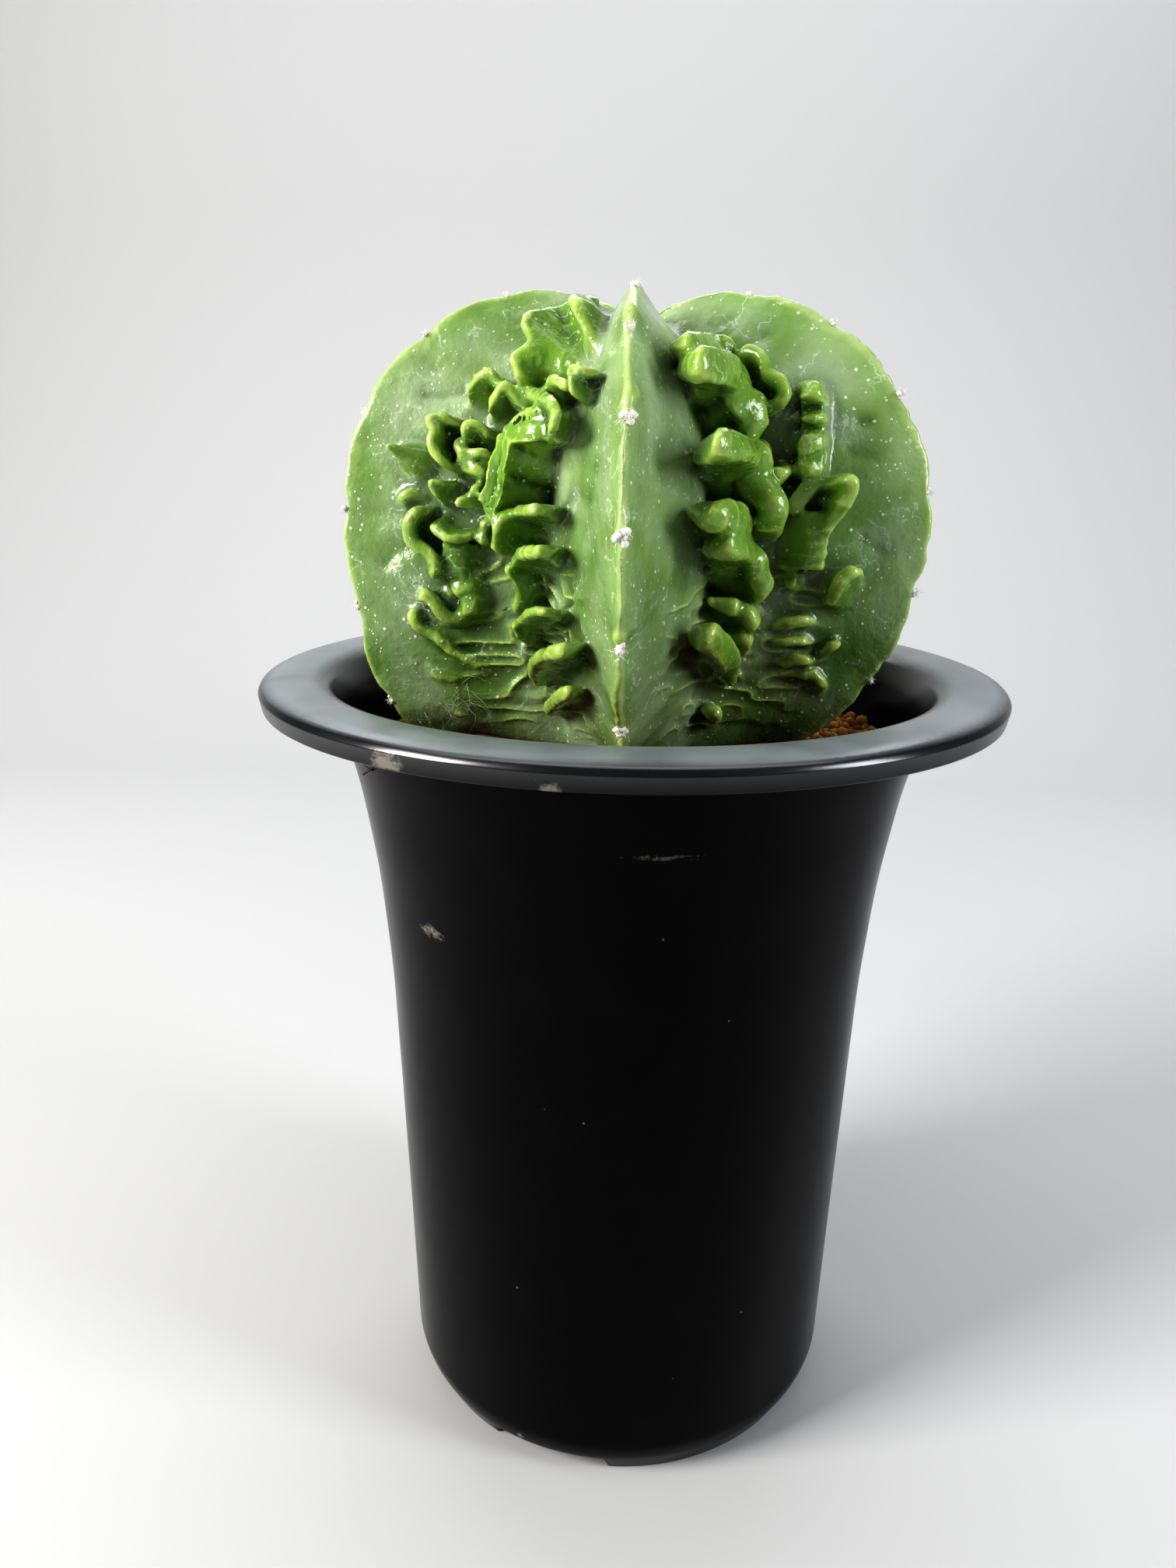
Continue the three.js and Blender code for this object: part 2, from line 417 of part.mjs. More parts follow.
// The ribbed body with its underside and the corky root that stands in the soil
function ribbedBody() {
  const directions = [];
  for (let rib = 0; rib < RIBS; rib += 1) {
    for (const part of [-1, -0.6, -0.25, 0, 0.25, 0.6]) {
      directions.push(FRONT + 2 * HALF * rib + HALF * part);
    }
  }
  const rootRing = (radius, z) => directions.map((azimuth) => new THREE.Vector3(
    radius * Math.sin(azimuth), -radius * Math.cos(azimuth), z));
  const skinRing = (latitude) => {
    const longitudes = [];
    for (let rib = 0; rib < RIBS; rib += 1) {
      const edge = beadAngle(latitude, rib);
      const sideMiddle = edge + (HALF - edge) * 0.5;
      const middle = 2 * HALF * rib;
      longitudes.push(middle - HALF, middle - sideMiddle, middle - edge);
      longitudes.push(middle, middle + edge, middle + sideMiddle);
    }
    return longitudes.map((longitude) => skinPoint(longitude, latitude));
  };
  const top = radians(TOP_LATITUDE);
  const base = radians(BASE_LATITUDE);
  const underside = skinRing(base).map((point) => new THREE.Vector3(
    point.x * UNDERSIDE_SHARE, point.y * UNDERSIDE_SHARE, COLLAR_Z + 0.2));
  const rings = [
    rootRing(ROOT_TIP_RADIUS, ROOT_TIP_Z),
    rootRing(COLLAR_RADIUS * WAIST_SHARE, ROOT_WAIST_Z),
    rootRing(COLLAR_RADIUS, SHOULDER_Z),
    rootRing(COLLAR_RADIUS, COLLAR_Z),
    underside,
  ];
  for (let row = 0; row <= SKIN_ROWS; row += 1) {
    rings.push(skinRing(base + (top - base) * row / SKIN_ROWS));
  }
  const rootTip = new THREE.Vector3(0, 0, ROOT_TIP_Z - 2);
  const crown = new THREE.Vector3(0, 0, BODY_Z + crestRadius(Math.PI / 2, 0) - 1.5);
  return loft(rings, rootTip, crown);
}

// A standing sheet of skin: its foot is sunk in the body and its rim is free
function foldGeometry(fold, furrow, mirror, shift) {
  const stations = fold.at.map(([footAcross, footUp, rimAcross, rimUp, rise]) => {
    const side = mirror ? -1 : 1;
    const footDepth = furrowDepth(side * footAcross, footUp + shift);
    const rimDepth = furrowDepth(side * rimAcross, rimUp + shift);
    const foot = furrowPoint(furrow, side * footAcross, footDepth - SINK, footUp + shift);
    const rim = furrowPoint(furrow, side * rimAcross, rimDepth + rise, rimUp + shift);
    return { foot, rim };
  });
  const away = furrowPoint(furrow, 0, 1, -BODY_Z);
  const rings = stations.map(({ foot, rim }, i) => {
    const before = stations[Math.max(i - 1, 0)];
    const after = stations[Math.min(i + 1, stations.length - 1)];
    const along = new THREE.Vector3().subVectors(after.rim, before.rim);
    along.add(new THREE.Vector3().subVectors(after.foot, before.foot).multiplyScalar(0.5));
    const rise = new THREE.Vector3().subVectors(rim, foot);
    const across = new THREE.Vector3().crossVectors(along, rise).normalize();
    const atEnd = i === 0 || i === stations.length - 1;
    const half = fold.thick / 2 * (atEnd ? 0.6 : 1);
    const middle = new THREE.Vector3().addVectors(foot, rim).multiplyScalar(0.5);
    middle.addScaledVector(away, fold.bulge);
    const shoulder = new THREE.Vector3().lerpVectors(middle, rim, 0.6);
    return [
      foot.clone().addScaledVector(across, half * 1.5),
      shoulder.clone().addScaledVector(across, half),
      rim.clone(),
      shoulder.clone().addScaledVector(across, -half),
      foot.clone().addScaledVector(across, -half * 1.5),
    ];
  });
  const middleOf = (ring) => ring.reduce((sum, point) => sum.add(point), new THREE.Vector3())
    .divideScalar(ring.length);
  return loft(rings, middleOf(rings[0]), middleOf(rings[rings.length - 1]));
}

// The level pleats of a fan, as low folds
function fanPleats(fan) {
  const pleats = [];
  const width = fan.to - fan.from;
  for (let i = 0; i < fan.count; i += 1) {
    const up = fan.top + fan.step * i;
    const at = [0, 0.3, 0.7, 1].map((part, k) => {
      const rise = k === 0 || k === 3 ? fan.rise * 0.5 : fan.rise;
      const across = fan.from + width * part;
      return [across, up - 0.3, across, up + 0.3 + Math.sin(Math.PI * part) * 0.6, rise];
    });
    pleats.push({ name: `pleat ${i + 1}`, thick: fan.thick, bulge: 0, at });
  }
  return pleats;
}

// A horn or bead: a round finger that tapers from its foot to a blunt tip
function hornGeometry(horn, furrow, mirror, shift) {
  const [footAcross, footUp, tipAcross, tipUp, rise, footRadius, tipRadius] = horn;
  const side = mirror ? -1 : 1;
  const footDepth = furrowDepth(side * footAcross, footUp + shift);
  const tipDepth = furrowDepth(side * tipAcross, tipUp + shift);
  const foot = furrowPoint(furrow, side * footAcross, footDepth - HORN_SINK, footUp + shift);
  const tip = furrowPoint(furrow, side * tipAcross, tipDepth + rise, tipUp + shift);
  const axis = new THREE.Vector3().subVectors(tip, foot).normalize();
  const first = new THREE.Vector3().crossVectors(axis, new THREE.Vector3(0, 0, 1)).normalize();
  const second = new THREE.Vector3().crossVectors(axis, first);
  const rings = [0, 0.5, 0.9].map((part, k) => {
    const radius = footRadius + (tipRadius - footRadius) * [0, 0.5, 1][k];
    const middle = new THREE.Vector3().lerpVectors(foot, tip, part);
    return Array.from({ length: HORN_SIDES }, (_, i) => {
      const angle = 2 * Math.PI * i / HORN_SIDES;
      return middle.clone().addScaledVector(first, radius * Math.cos(angle))
        .addScaledVector(second, radius * Math.sin(angle));
    });
  });
  return loft(rings, foot, tip);
}

// A tuft of wool: a small round knob on the crest
function tuftGeometry(rib, index) {
  const latitude = areoleLatitude(rib, index);
  const knob = new THREE.OctahedronGeometry(TUFT);
  const place = skinPoint(2 * HALF * rib, latitude);
  knob.translate(place.x, place.y, place.z);
  return knob;
}

// Which folds stand in which furrow. The two furrows that face the front carry their own sets.
// The others repeat them, mirrored or shifted, without the lowest growths.
const RIGHT_FURROW = 0;
const LEFT_FURROW = -1;
const HIDDEN_FURROWS = [
  { furrow: 1, folds: LEFT_FOLDS, mirror: true, shift: 1.5 },
  { furrow: 2, folds: RIGHT_FOLDS, mirror: false, shift: -1 },
  { furrow: 3, folds: RIGHT_FOLDS, mirror: true, shift: 2 },
];
const HIDDEN_RISE = 8;            // hidden furrows keep the folds that rise at least this far

function cactusSolid() {
  let solid = toSolid(ribbedBody());
  const join = (geometry) => {
    solid = solid.add(toSolid(geometry));
  };
  for (const fold of [...LEFT_FOLDS, ...fanPleats(LEFT_FAN)]) {
    join(foldGeometry(fold, LEFT_FURROW, false, 0));
  }
  for (const fold of [...RIGHT_FOLDS, ...fanPleats(RIGHT_FAN)]) {
    join(foldGeometry(fold, RIGHT_FURROW, false, 0));
  }
  for (const horn of LEFT_HORNS) join(hornGeometry(horn, LEFT_FURROW, false, 0));
  for (const { furrow, folds, mirror, shift } of HIDDEN_FURROWS) {
    for (const fold of folds) {
      const highest = Math.max(...fold.at.map((station) => station[4]));
      const at = fold.at.filter((_, i) => i % 2 === 0 || i === fold.at.length - 1);
      if (highest >= HIDDEN_RISE) join(foldGeometry({ ...fold, at }, furrow, mirror, shift));
    }
  }
  for (let rib = 0; rib < RIBS; rib += 1) {
    for (let index = 0; index < AREOLES; index += 1) join(tuftGeometry(rib, index));
  }
  return solid;
}

// The pot: a turned shell with a hollow skirt under its rim, a ring to stand on and drain holes
function potSolid() {
  const footInner = FOOT_RADIUS - FOOT_WALL;
  const outline = [
    [0, FOOT_HEIGHT], [footInner - 0.6, FOOT_HEIGHT], [footInner, 0],
    [FOOT_RADIUS, 0], [FOOT_RADIUS + 3, 5.5], [50.5, 8.5], [51.8, 45],
    [54.2, 105], [56.5, 130], [59.9, 150], [63.4, 163], [65.8, 169.6],
    [77.4, 169.6], [77.8, SKIRT_Z], [79.3, SKIRT_Z], [POT_RADIUS, 170.6],
    [POT_RADIUS - 0.7, 171.9], [77, 172.7], [73, POT_HEIGHT], [68.5, 172.8],
    [MOUTH_RADIUS, MOUTH_Z], [61.2, 163], [57.7, 150], [54.3, 130], [52, 105],
    [49.6, 45], [48.3, FLOOR_Z + 1.6], [46.4, FLOOR_Z], [0, FLOOR_Z],
  ];
  const turned = new THREE.LatheGeometry(
    outline.map(([radius, z]) => new THREE.Vector2(radius, z)), POT_SIDES);
  turned.rotateX(Math.PI / 2);
  let solid = toSolid(outward(turned));
  const drain = (x, y) => {
    const hole = new THREE.CylinderGeometry(DRAIN_RADIUS, DRAIN_RADIUS, 10, DRAIN_SIDES);
    hole.rotateX(Math.PI / 2);
    hole.translate(x, y, FLOOR_Z - 1);
    solid = solid.subtract(toSolid(outward(hole)));
  };
  drain(0, 0);
  for (let i = 0; i < DRAINS; i += 1) {
    const angle = 2 * Math.PI * i / DRAINS;
    drain(DRAIN_RING * Math.cos(angle), DRAIN_RING * Math.sin(angle));
  }
  for (let i = 0; i < ARCHES; i += 1) {
    const azimuth = radians(ARCH_AZIMUTH + 360 * i / ARCHES);
    const arch = new THREE.ExtrudeGeometry(archOutline(), { depth: 14, bevelEnabled: false });
    arch.rotateX(Math.PI / 2);
    arch.translate(0, -(FOOT_RADIUS - 8), 0);
    arch.rotateZ(azimuth);
    solid = solid.subtract(toSolid(outward(arch)));
  }
  return solid;
}

// Outline of a low arch in the foot ring, open at the bottom
function archOutline() {
  const outline = new THREE.Shape();
  outline.moveTo(-ARCH_WIDTH / 2, -1);
  outline.lineTo(ARCH_WIDTH / 2, -1);
  outline.lineTo(ARCH_WIDTH / 2 - 1.2, ARCH_HEIGHT - 0.6);
  outline.lineTo(ARCH_WIDTH / 2 - 3.5, ARCH_HEIGHT);
  outline.lineTo(-ARCH_WIDTH / 2 + 3.5, ARCH_HEIGHT);
  outline.lineTo(-ARCH_WIDTH / 2 + 1.2, ARCH_HEIGHT - 0.6);
  outline.closePath();
  return outline;
}

// A copy of a closed geometry with merged points and faces that look outwards
function outward(geometry) {
  const bare = geometry.clone();
  bare.deleteAttribute("normal");
  bare.deleteAttribute("uv");
  const merged = mergeVertices(bare, 1e-4);
  const position = merged.attributes.position;
  const points = Array.from({ length: position.count }, (_, i) => (
    new THREE.Vector3().fromBufferAttribute(position, i)));
  const faces = [];
  const index = merged.index.array;
  for (let i = 0; i < index.length; i += 3) {
    const [a, b, c] = [index[i], index[i + 1], index[i + 2]];
    if (a !== b && b !== c && a !== c) faces.push(a, b, c);
  }
  return closedGeometry(points, faces);
}

// The soil: fills the pot below its rim, with granules in relief and a plain hole for the root
function soilSolid() {
  const innerWall = [[46, FLOOR_Z + GAP], [48, FLOOR_Z + 2], [49.6, 45], [52, 105], [54.3, 130],
    [57.7, 150]];
  const rings = innerWall.map(([radius, z]) => circle(radius - GAP * 1.4, z));
  const topRadii = [58.2, 52, 45, 37, 29, 23];
  topRadii.forEach((radius, row) => {
    rings.push(circle(radius, 0).map((point, i) => {
      const fall = SOIL_FALL * Math.max(0, -point.x / topRadii[0]);
      const grain = GRAIN * granule(i, row);
      return new THREE.Vector3(point.x, point.y, SOIL_Z - fall - GRAIN + grain);
    }));
  });
  const holeMouth = SOIL_Z - 0.6;
  rings.push(circle(COLLAR_RADIUS + GAP * 2, holeMouth));
  rings.push(circle(COLLAR_RADIUS + GAP * 2, SHOULDER_Z));
  rings.push(circle(COLLAR_RADIUS * WAIST_SHARE + GAP * 2, ROOT_WAIST_Z));
  rings.push(circle(ROOT_TIP_RADIUS + GAP * 2, ROOT_TIP_Z - 0.6));
  return loft(rings, new THREE.Vector3(0, 0, FLOOR_Z + GAP), new THREE.Vector3(0, 0, ROOT_TIP_Z - 3));
}

function circle(radius, z) {
  return Array.from({ length: SOIL_SIDES }, (_, i) => {
    const angle = 2 * Math.PI * i / SOIL_SIDES;
    return new THREE.Vector3(radius * Math.cos(angle), radius * Math.sin(angle), z);
  });
}

// A repeatable number from 0 to 1 for a place in the soil's surface
function granule(column, row) {
  const value = Math.sin(column * 12.9898 + row * 78.233) * 43758.5453;
  return value - Math.floor(value);
}

function piece(name, geometry, color, roughness) {
  const material = new THREE.MeshStandardMaterial({ color, roughness, metalness: 0 });
  const mesh = new THREE.Mesh(geometry, material);
  mesh.name = name;
  return mesh;
}

const plant = new THREE.Group();
plant.add(piece("pot", toGeometry(potSolid()), 0x15171a, 0.32));
plant.add(piece("soil", soilSolid(), 0xa9662f, 0.95));
plant.add(piece("cactus", largestShell(toGeometry(cactusSolid())), 0x4f8f3a, 0.4));

export default plant;
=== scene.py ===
import bpy
import numpy as np
from mathutils import Matrix


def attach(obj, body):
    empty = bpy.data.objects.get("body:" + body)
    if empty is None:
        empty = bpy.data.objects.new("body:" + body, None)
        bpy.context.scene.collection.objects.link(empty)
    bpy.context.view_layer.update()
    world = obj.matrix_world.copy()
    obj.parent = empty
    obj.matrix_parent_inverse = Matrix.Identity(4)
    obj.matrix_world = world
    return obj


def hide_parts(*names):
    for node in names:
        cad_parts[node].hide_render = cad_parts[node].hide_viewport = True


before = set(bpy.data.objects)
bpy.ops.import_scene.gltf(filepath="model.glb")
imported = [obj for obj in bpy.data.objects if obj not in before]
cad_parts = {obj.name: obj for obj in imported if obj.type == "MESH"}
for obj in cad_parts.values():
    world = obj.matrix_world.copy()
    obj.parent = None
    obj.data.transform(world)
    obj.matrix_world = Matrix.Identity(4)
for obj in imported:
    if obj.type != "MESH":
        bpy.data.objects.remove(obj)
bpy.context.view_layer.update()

MM = 0.001

# The pot, as in the part's source
POT_RADIUS = 80.0
POT_HEIGHT = 173.0
MOUTH_RADIUS = 65.4         # inner edge of the rim
MOUTH_Z = 171.4
SKIRT_Z = 167.3             # lower edge of the skirt that hangs from the rim
FLOOR_Z = 7.0
FOOT_RADIUS = 46.6
FOOT_HEIGHT = 4.2           # underside of the floor, inside the foot ring
FOOT_WALL = 2.6
FOOT_RINGS = 24             # rings of the profile that an arch may raise
DRAIN_RADIUS = 5.0
DRAIN_RING = 26.0
DRAINS = 6                  # holes in a ring, round one in the middle
DRAIN_SIDES = 40
ARCHES = 4                  # notches in the foot ring that let water out
ARCH_WIDTH = 27.0
ARCH_HEIGHT = 2.8
ARCH_AZIMUTH = -18.0        # in degrees from the front
POT_SIDES = 288

# The soil
SOIL_Z = 157.6
SOIL_FALL = 1.6             # how much lower it lies at the left
SOIL_RADIUS = 58.2
SOIL_INNER = 20.0           # granules start this far from the axis, under the plant
GRAIN_RADIUS = 1.45
GRAIN_THROWS = 26000
GRAIN_CLOSE = 0.86          # least distance of two granules, as a share of their radii's sum
GRAIN_CELL = 3.2            # grid that finds a granule's neighbours

# The cactus: a body of ribs round its middle, where latitude is 0
RIBS = 5
HALF = np.pi / RIBS         # angle from a crest to a furrow
FRONT = np.radians(-2.0)    # azimuth of the front rib
BODY_Z = 206.0
CREST = 61.7                # radius of a crest at the body's middle
CROWN_DROP = 24.5           # how much less it is at the crown
FOOT_DROP = 7.2             # and straight below the middle
FOOT_SWELL = np.array([0.0, 1.0, 2.0, 3.0, 6.0])    # how much fuller each rib is low down
SWELL_FROM = np.radians(8)
SWELL_TO = np.radians(41)
SWELL_LOSS = 0.35           # share of the swell that is gone again at the base
VALLEY = 28.0               # radius of a furrow's bottom at the body's middle
BELLY = 1.6                 # how far a rib's side bulges
BEAD = 1.0                  # half width of the rounded bead that a crest ends in
BEAD_DEPTH = 1.2
BEAD_CLOSING = 0.35         # least cosine of latitude that the bead is divided by
BASE_LATITUDE = np.radians(-49)
TOP_LATITUDE = np.radians(88)
BODY_ROWS = 150
SIDE_POINTS = 30
BEAD_POINTS = 5
COLLAR_Z = 158.9            # where the root goes into the body
COLLAR_RADIUS = 16.0
ROOT_TIP_Z = 112.0
ROOT_TIP_RADIUS = 4.0
ROOT_WAIST_Z = ROOT_TIP_Z + 18
SHOULDER_Z = COLLAR_Z - 8
WAIST_SHARE = 0.75          # the root's radius at its waist, as a share of the collar's
UNDERSIDE_SHARE = 0.8       # the underside's radius, as a share of the base's
UNDERSIDE_RISE = 0.2

# Woolly areoles on the crests, in degrees of latitude, and the dip of the crest at each
AREOLE_START = -37.0
AREOLE_STEP = 18.6
AREOLES = 6
AREOLE_SHIFT = np.array([0.0, 6.0, -3.0, 4.0, 1.0])
NOTCH = 0.8
NOTCH_WIDTH = np.radians(3.2)

# Growths
SINK = 2.2                  # depth of a fold's foot below the skin
FOLD_STEPS = 8              # sections from one station to the next
SHEET_POINTS = 11
LIP_POINTS = 9
HORN_SINK = 1.5
HORN_RINGS = 12
HORN_SIDES = 14
HALVINGS = 26               # rounds of the search for the skin, between these two distances
NEAREST = 4.0
FURTHEST = 66.0

# The fused skin
VOXEL = 0.46
SKIN_TRIANGLES = 194000
FILL_SHARE = 0.9            # how much of the way to its neighbours' mean a point is moved
CREST_BAND = (3.5, 8)       # distance from a rib's plane where growths start to count, and fully do
STROKE_DEPTH = 0.85         # share of a stroke's depth that is pressed
STROKE_WIDTH = 1.35         # and of its width

# Wool, hairs and scrap
FIBRE_RINGS = 6
FIBRE_SIDES = 3
FIBRE_TAPER = 0.85          # share of its radius that a fibre loses up to its tip
TUFT_LUMPS = 6
TUFT_FIBRES = 60
HAIRS = 46
SCRAP_FIBRES = 9

# The stage: a floor that curves up into a wall
STAGE_REACH = 3000.0
STAGE_HEIGHT = 3200.0
CURVE_FROM = 520.0
CURVE_RADIUS = 420.0

# The camera, solved from the pot's round edges in the photograph
CAMERA_PLACE = (0.0, -261.48, 222.74)
CAMERA_PITCH = np.radians(16.390)
CAMERA_ROLL = np.radians(0.762)
CAMERA_YAW = np.radians(-2.036)
FOCAL_PIXELS = 1540.0
FRAME_HEIGHT = 2016.0       # in pixels
SENSOR = 36.0

